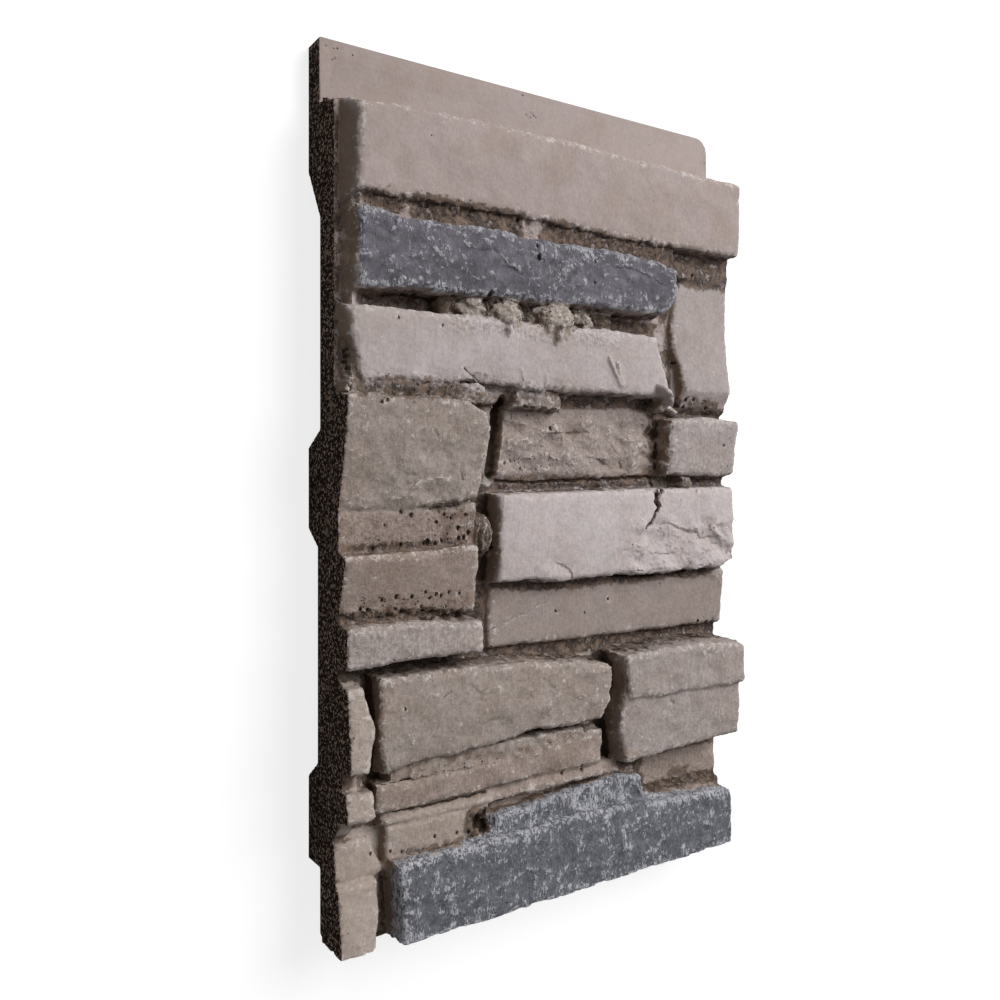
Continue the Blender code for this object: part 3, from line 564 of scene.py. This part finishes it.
def in_box(points, box, soft):
    """1 inside a box of the panel's face, fading to 0 over a soft border."""
    left, right, foot, top = (MM * side for side in box)
    x, y = points[:, 0], points[:, 1]
    outside = np.maximum.reduce([left - x, x - right, foot - y, y - top])
    return 1.0 - smoothstep(outside, -soft, soft)


def stone_of(points):
    """Index in STONES of each point's stone, and how far inside the stone's borders the point lies."""
    x, y = points[:, 0] / MM, points[:, 1] / MM
    away = np.array([
        np.maximum.reduce([left - x, x - right, foot - y, y - top])
        for left, right, foot, top, *_ in STONES
    ])
    return np.argmin(away, axis=0), -away.min(axis=0) * MM


def slate_share(points, sink):
    """1 on the faces of the two slate stones, 0 elsewhere."""
    x, y, z = (points / MM).T
    slates = np.array([stone[4] == "slate" for stone in STONES])
    upper = slates[stone_of(points)[0]] & (y > np.interp(x, UPPER_SLATE_X, UPPER_SLATE_Y))
    upper &= x > UPPER_SLATE_LEFT
    upper &= z > np.interp(x, (UPPER_SLATE_X[0], UPPER_SLATE_X[-1]), UPPER_SLATE_LEVELS)
    upper &= sink < UPPER_SLATE_SINK
    foot = (y < np.interp(x, FOOT_SLATE_X, FOOT_SLATE_Y)) & (x > FOOT_SLATE_LEFT)
    foot &= z > FOOT_SLATE_LEVEL
    foot &= sink < np.where(x > FOOT_SLATE_TURN, FOOT_SLATE_SINKS[1], FOOT_SLATE_SINKS[0])
    return (upper | foot) * (1.0 - lump_share(points))


def lump_share(points):
    """1 on the mortar lumps, 0 elsewhere."""
    share = np.zeros(len(points))
    for centre, radii in LUMPS:
        away = (points / MM - np.array(centre)) / np.array(radii)
        share = np.maximum(share, 1.0 - smoothstep(np.sqrt((away * away).sum(axis=1)), *LUMP_BORDER))
    return share


def box_share(points, boxes, soft):
    """1 inside any of the boxes, fading to 0 over a soft border."""
    share = np.zeros(len(points))
    for box in boxes:
        share = np.maximum(share, in_box(points, box, soft))
    return share


def knot_distance(points):
    """Distance from the middle of the knot, 1 at its border."""
    middle, radii = np.array(KNOT)
    return np.hypot(*((points[:, :2] / MM - middle) / radii).T)


def from_path(spots, path):
    """Each spot's distance from a path, its side (1 on the right) and its share of the path's length."""
    corners = np.array(path) * MM
    lengths = np.hypot(*(corners[1:] - corners[:-1]).T)
    near, side, share = np.full(len(spots), 1.0), np.zeros(len(spots)), np.zeros(len(spots))
    passed = 0.0
    for start, end, length in zip(corners, corners[1:], lengths):
        run, away = end - start, spots - start
        part = np.clip(away @ run / length ** 2, 0.0, 1.0)
        distance = np.hypot(*(away - part[:, None] * run).T)
        closer = distance < near
        near = np.where(closer, distance, near)
        side = np.where(closer, np.sign(away[:, 0] * run[1] - away[:, 1] * run[0]), side)
        share = np.where(closer, (passed + part * length) / lengths.sum(), share)
        passed += length
    return near, side, share


def shaken_spots(points, reach, scale, seeds):
    """The points' places on the wall's plane, moved about by noise; the reach is in millimetres."""
    moves = np.stack([noise(points, scale, seed) for seed in seeds], axis=1)
    return points[:, :2] + reach * MM * moves


def marks(points):
    """Depth of the casting's own marks at each point, how dark they are and how bright."""
    depth, dark, bright = (np.zeros(len(points)) for _ in range(3))
    shaken = shaken_spots(points, *LINE_SHAKE)
    frayed = shaken_spots(points, *PIT_SHAKE)
    for x, y, radius in PITS:
        tall = 1.0 if y * MM > SHOULDER else PIT_STRETCH
        away = np.hypot(frayed[:, 0] / MM - x, (frayed[:, 1] / MM - y) / tall) / radius
        hollow = 1.0 - smoothstep(away, *PIT_WALL)
        depth = np.maximum(depth, PIT_DEPTH * radius * MM * hollow)
        dark = np.maximum(dark, hollow)
    for kind, high, wide, path in LINES:
        low, top = np.array(path).min(axis=0) * MM, np.array(path).max(axis=0) * MM
        reach = LINE_REACH * wide * MM
        chosen = np.flatnonzero(((shaken > low - reach) & (shaken < top + reach)).all(axis=1))
        near, side, share = from_path(shaken[chosen], path)
        if kind == STEP:
            ends = smoothstep(share, 0.0, SCARP_ENDS) * smoothstep(1.0 - share, 0.0, SCARP_ENDS)
            riser = smoothstep(near * side, *SCARP_RISER)
            depth[chosen] += high * MM * ends * riser * np.exp(-near / (wide * MM * SCARP_FADE))
        else:
            profile = 1.0 - smoothstep(near, *(part * wide * MM for part in LINE_PROFILE))
            depth[chosen] += kind * high * MM * profile
            tone = dark if kind == CUT else bright
            tone[chosen] = np.maximum(tone[chosen], min(LINE_TONE, high) * profile)
    return depth, dark, bright


def array_of(items, key, width, kind=np.float32):
    """A mesh's values as an array with one row an item."""
    values = np.empty(len(items) * width, dtype=kind)
    items.foreach_get(key, values)
    return values.reshape(-1, width)


def mesh_points(mesh):
    return array_of(mesh.vertices, "co", 3).astype(np.float64)


def mesh_normals(mesh):
    return array_of(mesh.vertex_normals, "vector", 3).astype(np.float64)


def mesh_edges(mesh):
    return array_of(mesh.edges, "vertices", 2, np.int32)


def put_points(mesh, points):
    mesh.vertices.foreach_set("co", points.astype(np.float32).ravel())
    mesh.update()


def smoothed(values, edges, rounds):
    """Values averaged with their neighbours along the edges, round after round."""
    one, other = edges.T
    count = np.bincount(one, minlength=len(values)) + np.bincount(other, minlength=len(values))
    count = np.maximum(count, 1)
    result = values.copy()
    for _ in range(rounds):
        for axis in range(result.shape[1]):
            column = result[:, axis]
            total = np.bincount(one, column[other], len(values))
            total += np.bincount(other, column[one], len(values))
            result[:, axis] = KEPT_SHARE * column + NEIGHBOUR_SHARE * total / count
    return result


def standing_out(points, normals, edges, rounds):
    """How far each point stands out of its surroundings: positive on arrises, negative in corners."""
    return ((points - smoothed(points, edges, rounds)) * normals).sum(axis=1)


class HeightMap:
    """The front's height over a grid of the wall's plane, and the same map blurred."""

    def __init__(self, points, normals, size):
        points = points[normals[:, 2] > MAP_FACING]
        self.margin = round(MAP_MARGIN / MAP_CELL)
        self.shape = tuple(math.ceil(length / MAP_CELL) + 2 * self.margin for length in size[:2])
        flat = np.full(self.shape[0] * self.shape[1], -1.0)
        np.maximum.at(flat, self.places(points), points[:, 2])
        self.heights = self.without_holes(flat.reshape(self.shape))

    def places(self, points):
        """Each point's cell, as its index in the flattened grid."""
        steps = np.round(points[:, :2] / MAP_CELL).astype(np.int64) + self.margin
        columns = np.clip(steps[:, 0], 0, self.shape[0] - 1)
        rows = np.clip(steps[:, 1], 0, self.shape[1] - 1)
        return columns * self.shape[1] + rows

    @staticmethod
    def without_holes(grid):
        """Gives empty cells the height of their highest neighbour, until none is left."""
        while (grid < 0.0).any():
            around = [np.roll(grid, shift, axis) for axis in (0, 1) for shift in (-1, 1)]
            grid = np.where(grid < 0.0, np.maximum.reduce(around), grid)
        return grid

    def blurred(self, radius, grid=None, upright=1.0):
        """The map or another grid blurred; upright below 1 blurs it less along Y than along X."""
        spread = radius / MAP_CELL
        columns = np.fft.fftfreq(self.shape[0])[:, None]
        rows = np.fft.rfftfreq(self.shape[1])[None, :] * upright
        filter_shape = np.exp(-2.0 * (math.pi * spread) ** 2 * (columns ** 2 + rows ** 2))
        source = self.heights if grid is None else grid
        return np.fft.irfft2(np.fft.rfft2(source) * filter_shape, s=self.shape)

    def sampled(self, grid, points):
        return grid.ravel()[self.places(points)]

    def sink(self, points):
        """How far each point lies below the blurred front."""
        return self.sampled(self.blurred(JOINT_BLUR), points) - points[:, 2]

    def gap(self, points):
        """How far each point lies below what stands left and right of it."""
        around = self.blurred(JOINT_BLUR, upright=GAP_UPRIGHT)
        return self.sampled(around, points) - points[:, 2]

    def near_joint(self, points, blur=WASH_BLUR):
        """1 in the joints, fading to 0 a little way up the faces beside them."""
        joints = (self.blurred(JOINT_BLUR) - self.heights > JOINT_DEPTH).astype(float)
        return self.sampled(self.blurred(blur, joints), points)


def copy_of_node(node, corner):
    """A welded copy of a CAD node as a new object in panel coordinates."""
    mesh = node.data.copy()
    bm = bmesh.new()
    bm.from_mesh(mesh)
    bmesh.ops.remove_doubles(bm, verts=bm.verts[:], dist=WELD)
    bmesh.ops.translate(bm, vec=-corner, verts=bm.verts[:])
    bm.to_mesh(mesh)
    bm.free()
    return link_object("stone_panel", mesh)


def link_object(name, data):
    item = bpy.data.objects.new(name, data)
    bpy.context.scene.collection.objects.link(item)
    return item


def applied(item, kind, **settings):
    """Runs one modifier and keeps its result as the object's mesh."""
    step = item.modifiers.new(kind.lower(), kind)
    for key, value in settings.items():
        setattr(step, key, value)
    depsgraph = bpy.context.evaluated_depsgraph_get()
    mesh = bpy.data.meshes.new_from_object(item.evaluated_get(depsgraph))
    item.modifiers.clear()
    item.data = mesh


def hewn(points, normals, sink):
    """Moves the smooth casting's points to the relief of split stone."""
    stones = stone_of(points)[0]
    relief = np.array([stone[5] for stone in STONES])[stones] * MM
    flakes = np.array([stone[6] for stone in STONES])[stones] * MM
    slate = slate_share(points, sink)
    relief = np.where(slate > 0.5, SLATE_RELIEF, relief)
    flakes = np.where(slate > 0.5, SLATE_FLAKES, flakes)

    front = smoothstep(points[:, 2], STONE_LEVEL - FRONT_EDGE, STONE_LEVEL + FRONT_EDGE)
    front *= smoothstep(SHOULDER + SHOULDER_REACH - points[:, 1], 0.0, SHOULDER_SOFT)
    ragged = np.zeros((len(points), 3))
    for axis, seed in enumerate(RAGGED_SEEDS):
        ragged[:, axis] = sum(share * noise(points, scale, seed + step) for share, scale, step in RAGGED)
    ragged *= (front * (RAGGED_LEAST + RAGGED_FLAKES * flakes))[:, None]

    for *box, amount in BROKEN:
        flakes = np.maximum(flakes, amount * MM * in_box(points, box, BROKEN_BORDER))
    swell = layered(points, **SWELL)
    split = stepped(layered(points * SPLIT_STRETCH, **SPLIT), SPLIT_STEPS, SPLIT_RISER)
    bent = points * FOLD_STRETCH + FOLD_BEND * noise(points, **FOLD_BEND_NOISE)[:, None]
    folds = np.abs(layered(bent, **FOLDS))
    along = front * (relief * swell + flakes * (FLAKE_SPLIT * split - FLAKE_FOLD * folds + FLAKE_LIFT))
    return points + ragged + normals * along[:, None]


def worn(points, normals, edges):
    """Chips the arrises in some places and leaves them sharp in others."""
    proud = np.clip(standing_out(points, normals, edges, WEAR_ROUNDS), 0.0, None)
    wear = WEAR_LEAST + WEAR_CHIPPED * smoothstep(layered(points, **CHIPS), *CHIP_RANGE)
    wear *= smoothstep(points[:, 2], STONE_LEVEL, STONE_LEVEL + STONE_EDGE)
    return points - normals * (proud * wear)[:, None]


def filled(points):
    """Raises the floors of the joints that mortar fills."""
    result = points.copy()
    frayed = points.copy()
    for axis, (amount, settings) in enumerate(BED_EDGES):
        frayed[:, axis] += amount * layered(points, **settings)
    for box, places, levels in BEDS:
        share = in_box(frayed, box, BED_SOFT) * (points[:, 2] > STONE_LEVEL)
        chosen = np.flatnonzero(share > LEAST_AMOUNT)
        some = points[chosen]
        level = np.interp(some[:, 0] / MM, places, levels)
        aim = MM * (level + BED_ROUGHNESS * layered(some * FLATTENED, **BED_NOISE))
        result[chosen, 2] += np.clip(aim - some[:, 2], 0.0, None) * share[chosen]
    return result


def crumble(points, normals, height_map):
    """Adds grains and pits to the joints, most of all where mortar fills them."""
    sink = height_map.sink(points)
    joint = smoothstep(sink, *JOINT_SINK) * smoothstep(normals[:, 2], *JOINT_FACING)
    joint = np.maximum(joint, JOINT_BESIDE * height_map.near_joint(points))
    joint *= smoothstep(points[:, 2], STONE_LEVEL, STONE_LEVEL + STONE_EDGE)
    joint *= points[:, 1] < SHOULDER - CRUMB_SHOULDER
    crumbs = box_share(points, CRUMBS, CRUMB_SOFT)
    beds = box_share(points, [box for box, *_ in BEDS], BED_CRUMB_SOFT) * (slate_share(points, sink) < 0.5)
    amount = joint * (CRUMB_LEAST + CRUMB_MORE * crumbs) + CRUMB_LUMPS * lump_share(points)
    amount = np.maximum(amount, CRUMB_BEDS * crumbs * beds)
    chosen = np.flatnonzero(amount > LEAST_AMOUNT)
    some = points[chosen]
    height = sum(share * grains(some, **settings) for share, settings in (COARSE_GRAINS, FINE_GRAINS))
    share, settings = GRAIN_SWELL
    height += share * layered(some, **settings) - GRAIN_DROP
    result = points.copy()
    result[chosen] += normals[chosen] * (MM * amount[chosen] * height)[:, None]
    return result


def marked(points, normals):
    """Cuts the casting's own marks and the rings of the knot into its front."""
    depth = marks(points)[0]
    ring = knot_distance(points)
    rings = KNOT_RING_HEIGHT * MM * np.cos(2.0 * math.pi * KNOT_RINGS * ring) * (ring < 1.0)
    facing = smoothstep(normals[:, 2], *MARK_FACING)
    result = points.copy()
    result[:, 2] -= facing * (depth - rings)
    return result


def inside(points, size):
    """Keeps points inside the CAD model's box, which also keeps its ends flat."""
    return np.clip(points, 0.0, np.array(size))


def build_panel(node, corner, size):
    """The casting's visible surface, in panel coordinates, and the height map of its front."""
    panel = copy_of_node(node, corner)
    applied(panel, "REMESH", mode="VOXEL", voxel_size=VOXEL)
    mesh = panel.data
    edges = mesh_edges(mesh)
    points = mesh_points(mesh)
    height_map = HeightMap(points, mesh_normals(mesh), size)
    for change in (
        lambda spots, normals: hewn(spots, normals, height_map.sink(spots)),
        lambda spots, normals: worn(spots, normals, edges),
        lambda spots, normals: filled(spots),
        lambda spots, normals: crumble(spots, normals, height_map),
        marked,
    ):
        points = inside(change(points, mesh_normals(mesh)), size)
        put_points(mesh, points)
    height_map = HeightMap(points, mesh_normals(mesh), size)
    target = TRIANGLES
    triangles = sum(len(face.vertices) - 2 for face in mesh.polygons)
    depth, dark, _ = marks(points)
    tongue = points[:, 1] > SHOULDER
    slight = np.where(tongue, TONGUE_PLAIN, 1.0)
    dotted = tongue & (box_share(points, POROUS, POROUS_SOFT) > 0.0)
    plain = np.flatnonzero((np.abs(depth) < PLAIN_MARK * slight) & (dark < PLAIN_DARK * slight) & ~dotted)
    panel.vertex_groups.new(name=PLAIN).add(plain.tolist(), 1.0, "REPLACE")
    share = min(1.0, target / triangles)
    applied(panel, "DECIMATE", ratio=share, vertex_group=PLAIN, vertex_group_factor=1.0)
    put_points(panel.data, inside(mesh_points(panel.data), size))
    return panel, height_map


def linear(values):
    """A colour as it looks, from 0 to 255, as the shader's linear values."""
    return tuple(((value / 255.0 + 0.055) / 1.055) ** 2.4 for value in values)


def store(mesh, name, values, kind="FLOAT"):
    """Keeps one value, or one colour, a point on the mesh for the material."""
    attribute = mesh.attributes.new(name, kind, "POINT")
    if kind == "FLOAT":
        attribute.data.foreach_set("value", values.astype(np.float32))
    else:
        attribute.data.foreach_set("color", values.astype(np.float32).ravel())


def painted_over(colours, share, name):
    """Colours blended towards a paint by each point's share."""
    return colours * (1.0 - share[:, None]) + np.array(linear(PAINT[name])) * share[:, None]


def paint_attributes(panel, height_map):
    """Stores where each paint goes, for the material to break up."""
    mesh = panel.data
    points, normals, edges = mesh_points(mesh), mesh_normals(mesh), mesh_edges(mesh)
    x, y, z = points.T
    stones, within = stone_of(points)
    tints = np.array([linear(PAINT[stone[4]]) for stone in STONES])[stones]
    roughness = np.array([stone[7] for stone in STONES])[stones]
    knot = knot_distance(points) < KNOT_BORDER
    tints = np.where(knot[:, None], np.array(linear(PAINT["knot"])), tints)
    lumps = lump_share(points)
    tints = painted_over(tints, lumps, "mortar")
    front = smoothstep(z, STONE_LEVEL - FRONT_PAINT_EDGE, STONE_LEVEL + FRONT_PAINT_EDGE)
    tongue = (y > SHOULDER) & (z > TONGUE_LEVEL - FRONT_PAINT_EDGE)
    sawn = (x < SAWN_PLACE) & (normals[:, 0] < SAWN_FACING)
    sink = height_map.sink(points)
    slate = slate_share(points, sink)

    steep = smoothstep(STEEP_FROM - normals[:, 2], *STEEP_FACING) * smoothstep(sink, *STEEP_SINK)
    steep *= 1.0 - slate
    # Left-facing walls: a smooth brown wash with painted shade, taking the place of most of the ragged wash
    left_wall_wash_and_shade = smoothstep(-normals[:, 0], *WALL_FACING) * smoothstep(sink, *WALL_SINK)
    wash = np.maximum(WASH_NEAR * height_map.near_joint(points), WASH_DEEP * smoothstep(sink, *WASH_SINK))
    inner = smoothstep(within, *INNER_BORDER) * smoothstep(normals[:, 2], *INNER_FACING)
    wash = np.maximum(wash * (1.0 - INNER_SPARED * inner), STEEP_WASH * steep)
    wash *= 1.0 - WALL_SPARED * left_wall_wash_and_shade
    stain = np.zeros(len(points))
    for *box, strength in STAINS:
        stain = np.maximum(stain, strength * in_box(points, box, STAIN_SOFT))
    wash = np.maximum(wash, stain) * (1.0 - LUMPS_SPARED * lumps) * front
    # Brown wash with painted shade on the left-facing walls
    tints = painted_over(tints, left_wall_wash_and_shade, "wall")

    # Painted shade in the upright gaps, which the stones beside them would shadow
    gap_shade = smoothstep(height_map.gap(points), *GAP_SHADE_DEPTH) * front * (x > GAP_SHADE_LEFT)
    gap_shade *= (1.0 - in_box(points, LIT_GAP, LIT_GAP_SOFT)) * np.where(knot, KNOT_GAP_SHADE, 1.0)
    proud = smoothstep(standing_out(points, normals, edges, PROUD_ROUNDS), *PROUD_HEIGHT) * front
    crumbs = box_share(points, CRUMBS, CRUMB_SOFT)
    proud *= np.maximum(smoothstep(PROUD_SINK - sink, *PROUD_SOFT), PROUD_CRUMBS * crumbs)
    _, dark, bright = marks(points)
    roughness = np.where((slate > 0.5) & (y < FOOT_TOP), FOOT_ROUGHNESS, roughness)

    store(mesh, "tint", np.column_stack([tints, np.ones(len(points))]), "FLOAT_COLOR")
    values = {
        "slate": slate,
        "foot": smoothstep(FOOT_TOP - y, *FOOT_SOFT),
        "gap_shade": gap_shade * (1.0 - lumps),
        "wash": wash,
        "rim": height_map.near_joint(points, RIM_BLUR) * front,
        "proud": np.maximum(proud, PROUD_MARKS * bright * front),
        "rough": np.maximum(roughness, CRUMB_ROUGHNESS * np.maximum(lumps, crumbs)),
        "porous": np.maximum(lumps, box_share(points, POROUS, POROUS_SOFT)),
        "dark": dark,
        "sawn": sawn,
        "painted": np.maximum(front, tongue),
    }
    for name in POINT_VALUES:
        store(mesh, name, values[name])


class Nodes:
    """A material's node tree, built one node a call."""

    def __init__(self, name):
        self.material = bpy.data.materials.new(name)
        self.material.use_nodes = True
        self.tree = self.material.node_tree
        self.shader = self.tree.nodes["Principled BSDF"]

    def add(self, kind, inputs=None, **settings):
        node = self.tree.nodes.new("ShaderNode" + kind)
        for key, value in settings.items():
            setattr(node, key, value)
        for key, value in (inputs or {}).items():
            self.plug(node.inputs[key], value)
        return node

    def plug(self, socket, value):
        if isinstance(value, bpy.types.NodeSocket):
            self.tree.links.new(value, socket)
        else:
            socket.default_value = value

    def point_value(self, name):
        return self.add("Attribute", attribute_name=name).outputs["Fac"]

    def noise(self, vector, scale, detail, roughness, distortion=0.0):
        return self.add("TexNoise", {
            "Vector": vector, "Scale": scale, "Detail": detail, "Roughness": roughness,
            "Distortion": distortion}).outputs["Fac"]

    def cells(self, vector, scale):
        return self.add("TexVoronoi", {"Vector": vector, "Scale": scale}).outputs["Distance"]

    def stretch(self, vector, scale):
        return self.add("Mapping", {"Vector": vector, "Scale": scale}).outputs["Vector"]

    def math(self, operation, one, other):
        return self.add("Math", {0: one, 1: other}, operation=operation).outputs["Value"]

    def times(self, one, other):
        return self.math("MULTIPLY", one, other)

    def higher(self, one, other):
        return self.math("MAXIMUM", one, other)

    def rest(self, share):
        return self.math("SUBTRACT", 1.0, share)

    def total(self, *terms):
        """Sum of values, each with its weight."""
        result = None
        for value, weight in terms:
            term = self.times(value, weight)
            result = term if result is None else self.math("ADD", result, term)
        return result

    def ramp(self, value, name):
        """A smooth step from 0 to 1, or between the ends that the named ramp gives."""
        low, high, start, end = (*RAMPS[name], 0.0, 1.0)[:4]
        return self.add("MapRange", {
            "Value": value, "From Min": low, "From Max": high, "To Min": start, "To Max": end},
            interpolation_type="SMOOTHSTEP").outputs["Result"]

    def blend(self, share, one, other, blend_type="MIX"):
        node = self.add("Mix", data_type="RGBA", blend_type=blend_type)
        for name, value in (("Factor_Float", share), ("A_Color", one), ("B_Color", other)):
            socket = next(item for item in node.inputs if item.identifier == name)
            self.plug(socket, value)
        return next(item for item in node.outputs if item.identifier == "Result_Color")


def colour(name):
    return (*linear(PAINT[name]), 1.0)


def grey(value):
    return (value, value, value, 1.0)


def stone_paint():
    """Painted cast stone: tints, mottling, streaks, pits, washes, painted shade in the gaps, brushed
    arrises, slate and foam.
    """
    nodes = Nodes("cast_stone_paint")
    ramp, total, times, blend = nodes.ramp, nodes.total, nodes.times, nodes.blend
    place = nodes.add("TexCoord").outputs["Object"]
    tint = nodes.add("Attribute", attribute_name="tint").outputs["Color"]
    slate, foot, gap_shade, wash, rim, proud, rough, porous, dark, sawn, painted = (
        nodes.point_value(name) for name in POINT_VALUES)

    grain = nodes.noise(place, *GRAIN)
    fine = nodes.noise(place, *FINE)
    coarse = nodes.noise(place, *COARSE)
    mottle = nodes.noise(place, *MOTTLE)
    streaks = nodes.noise(nodes.stretch(place, STREAK_STRETCH), *STREAKS)

    # Surface texture, which the paint and the bump share
    texture = total((fine, 0.42), (coarse, 0.20), (grain, 0.22), (streaks, 0.16))
    contrast = total((rough, 0.32), (1.0, 0.045))
    shade = nodes.math("ADD", 1.0, times(ramp(texture, "shade"), contrast))
    warmth = blend(ramp(mottle, "warmth"), BRIGHT_MOTTLE, WARM_MOTTLE)
    stone = blend(1.0, blend(1.0, tint, warmth, "MULTIPLY"), shade, "MULTIPLY")

    # Slate with whitish strands, closest together along its arrises
    strand_scale = total((foot, STRAND_SCALE_FOOT), (1.0, STRAND_SCALE))
    strand = nodes.noise(nodes.stretch(place, STRAND_STRETCH), strand_scale, *STRAND_NOISE)
    clusters = nodes.noise(nodes.stretch(place, CLUSTER_STRETCH), *CLUSTERS)
    cover = ramp(total((rim, 1.15), (proud, 0.6), (coarse, 0.9), (clusters, 1.5), (rough, 0.15)), "cover")
    strand = ramp(total((strand, 1.0), (cover, 0.20)), "strand")
    slate_tone = ramp(total((coarse, 0.5), (mottle, 0.5)), "upper slate")
    slate_tone = blend(slate_tone, colour("upper slate"), colour("pale upper slate"))
    slate_tone = blend(foot, slate_tone, blend(coarse, colour("foot slate"), colour("pale foot slate")))
    slate_tone = blend(1.0, slate_tone, shade, "MULTIPLY")
    strength = total((foot, STRAND_STRENGTH_FOOT), (1.0, STRAND_STRENGTH))
    slate_tone = blend(times(strand, strength), slate_tone, colour("strand"))
    body = blend(slate, stone, slate_tone)

    # Dry brushing on the arrises and on the grain beside them
    brushed = ramp(total((proud, 0.60), (grain, 1.4), (fine, 0.6)), "brushed")
    beside = times(ramp(total((rim, 0.45), (grain, 1.5), (fine, 0.5)), "beside"), rough)
    brushed = nodes.higher(times(brushed, COATS["brushed"]), times(beside, COATS["beside"]))
    body = blend(brushed, body, blend(slate, colour("brushed stone"), colour("brushed slate")))

    # Dark wash in the joints, ragged where it fades, then painted shade in the upright gaps
    near = times(ramp(wash, "near"), nodes.rest(slate))
    soaked = times(ramp(total((wash, 1.0), (coarse, 2.0), (fine, 0.9)), "soaked"), near)
    dirt = blend(ramp(coarse, "dirt"), colour("dirt"), colour("pale dirt"))
    dirt = blend(1.0, dirt, shade, "MULTIPLY")
    body = blend(times(soaked, COATS["wash"]), body, dirt)
    gap_shaded = ramp(total((gap_shade, 1.0), (fine, 0.8)), "gap_shade")
    body = blend(times(gap_shaded, COATS["gap_shade"]), body, colour("gap_shade"))

    # Pits
    pore = ramp(nodes.cells(place, PORE_CELLS), "pore")
    sparse = ramp(nodes.noise(place, *SPARSE), "sparse")
    cluster = ramp(nodes.cells(place, CLUSTER_CELLS), "cluster")
    patches = ramp(nodes.noise(place, *PATCHES), "patches")
    likely = nodes.higher(porous, times(soaked, COATS["soaked pits"]))
    cluster = times(times(cluster, patches), likely)
    holes = nodes.higher(times(pore, sparse), cluster)
    holes = nodes.higher(holes, ramp(total((dark, 1.0), (grain, 1.2)), "dark"))
    body = blend(times(holes, COATS["pits"]), body, colour("pit"))

    # Sawn foam and the unpainted back
    foam = blend(ramp(nodes.noise(place, *OPEN_CELLS), "foam"), colour("foam"), colour("pale foam"))
    skin = blend(ramp(fine, "skin"), colour("skin"), colour("pale skin"))
    covered = times(painted, nodes.rest(sawn))
    final = blend(covered, blend(sawn, skin, foam), body)

    relief = times(texture, total((rough, 1.6), (1.0, 0.35)))
    height = total((relief, 1.0), (coarse, 0.4), (holes, -0.8), (times(slate, strand), 0.35))
    bump = nodes.add("Bump", {"Height": height})
    bump.inputs["Strength"].default_value = BUMP_STRENGTH
    bump.inputs["Distance"].default_value = BUMP_DISTANCE

    nodes.plug(nodes.shader.inputs["Base Color"], final)
    nodes.plug(nodes.shader.inputs["Roughness"], blend(slate, grey(STONE_ROUGHNESS), grey(SLATE_ROUGHNESS)))
    nodes.plug(nodes.shader.inputs["Normal"], bump.outputs["Normal"])
    sheen = times(nodes.rest(nodes.higher(sawn, soaked)), SPECULAR)
    nodes.plug(nodes.shader.inputs["Specular IOR Level"], sheen)
    return nodes.material


def make_floor():
    """A level white floor that keeps the panel's shadow."""
    mesh = bpy.data.meshes.new("floor")
    corners = [(x * FLOOR_HALF, y * FLOOR_HALF, 0.0) for x, y in ((-1, -1), (1, -1), (1, 1), (-1, 1))]
    mesh.from_pydata(corners, [], [(0, 1, 2, 3)])
    floor = link_object("floor", mesh)
    nodes = Nodes("floor_white")
    nodes.shader.inputs["Base Color"].default_value = grey(FLOOR_GREY)
    nodes.shader.inputs["Roughness"].default_value = 1.0
    nodes.shader.inputs["Specular IOR Level"].default_value = 0.0
    path = nodes.add("LightPath").outputs
    seen = nodes.higher(path["Is Camera Ray"], path["Is Glossy Ray"])
    seen = nodes.higher(seen, path["Is Transmission Ray"])
    glow = nodes.add("Emission", {"Color": grey(1.0), "Strength": nodes.times(seen, FLOOR_GLOW)})
    both = nodes.add("AddShader", {0: nodes.shader.outputs["BSDF"], 1: glow.outputs["Emission"]})
    output = nodes.tree.nodes["Material Output"]
    nodes.plug(output.inputs["Surface"], both.outputs["Shader"])
    mesh.materials.append(nodes.material)
    floor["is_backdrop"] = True


def make_lights():
    """Plain soft studio light: one wide lamp over the panel's upper end, and an even grey world."""
    lamp = bpy.data.lights.new("key", "AREA")
    lamp.shape = "DISK"
    lamp.size = LAMP_SIZE
    lamp.energy = LAMP_POWER
    key = link_object("key", lamp)
    key.location = LAMP_PLACE
    key.rotation_euler = (-key.location).to_track_quat("-Z", "Y").to_euler()
    world = bpy.data.worlds.new("studio")
    world.use_nodes = True
    background = world.node_tree.nodes["Background"]
    background.inputs["Color"].default_value = grey(1.0)
    background.inputs["Strength"].default_value = WORLD_LIGHT
    bpy.context.scene.world = world


def make_camera(corner):
    """The photograph's camera, turned about the wall's upward axis."""
    data = bpy.data.cameras.new("camera")
    data.sensor_width = SENSOR
    data.lens = FOCAL_SHARE * SENSOR
    data.shift_y = SHIFT_Y
    camera = link_object("camera", data)
    right = Vector((math.cos(CAMERA_TURN), 0.0, math.sin(CAMERA_TURN)))
    up = Vector((0.0, 1.0, 0.0))
    back = Vector((-math.sin(CAMERA_TURN), 0.0, math.cos(CAMERA_TURN)))
    turned = Matrix((right, up, back)).transposed().to_4x4()
    camera.matrix_world = Matrix.Translation(corner + CAMERA_PLACE) @ turned
    bpy.context.scene.camera = camera


def main():
    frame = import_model()
    low, high = (Vector(point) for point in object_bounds())
    panel, height_map = build_panel(frame["nodes"]["panel"], low, high - low)
    paint_attributes(panel, height_map)
    panel.data.transform(Matrix.Translation(low))
    panel.data.materials.clear()
    panel.data.materials.append(stone_paint())
    panel.data.shade_smooth()
    panel.data.set_sharp_from_angle(angle=SHARP_ANGLE)
    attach(panel, "root")
    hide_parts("panel")
    make_floor()
    make_lights()
    make_camera(low)
    bpy.context.scene.view_settings.view_transform = "Standard"


main()
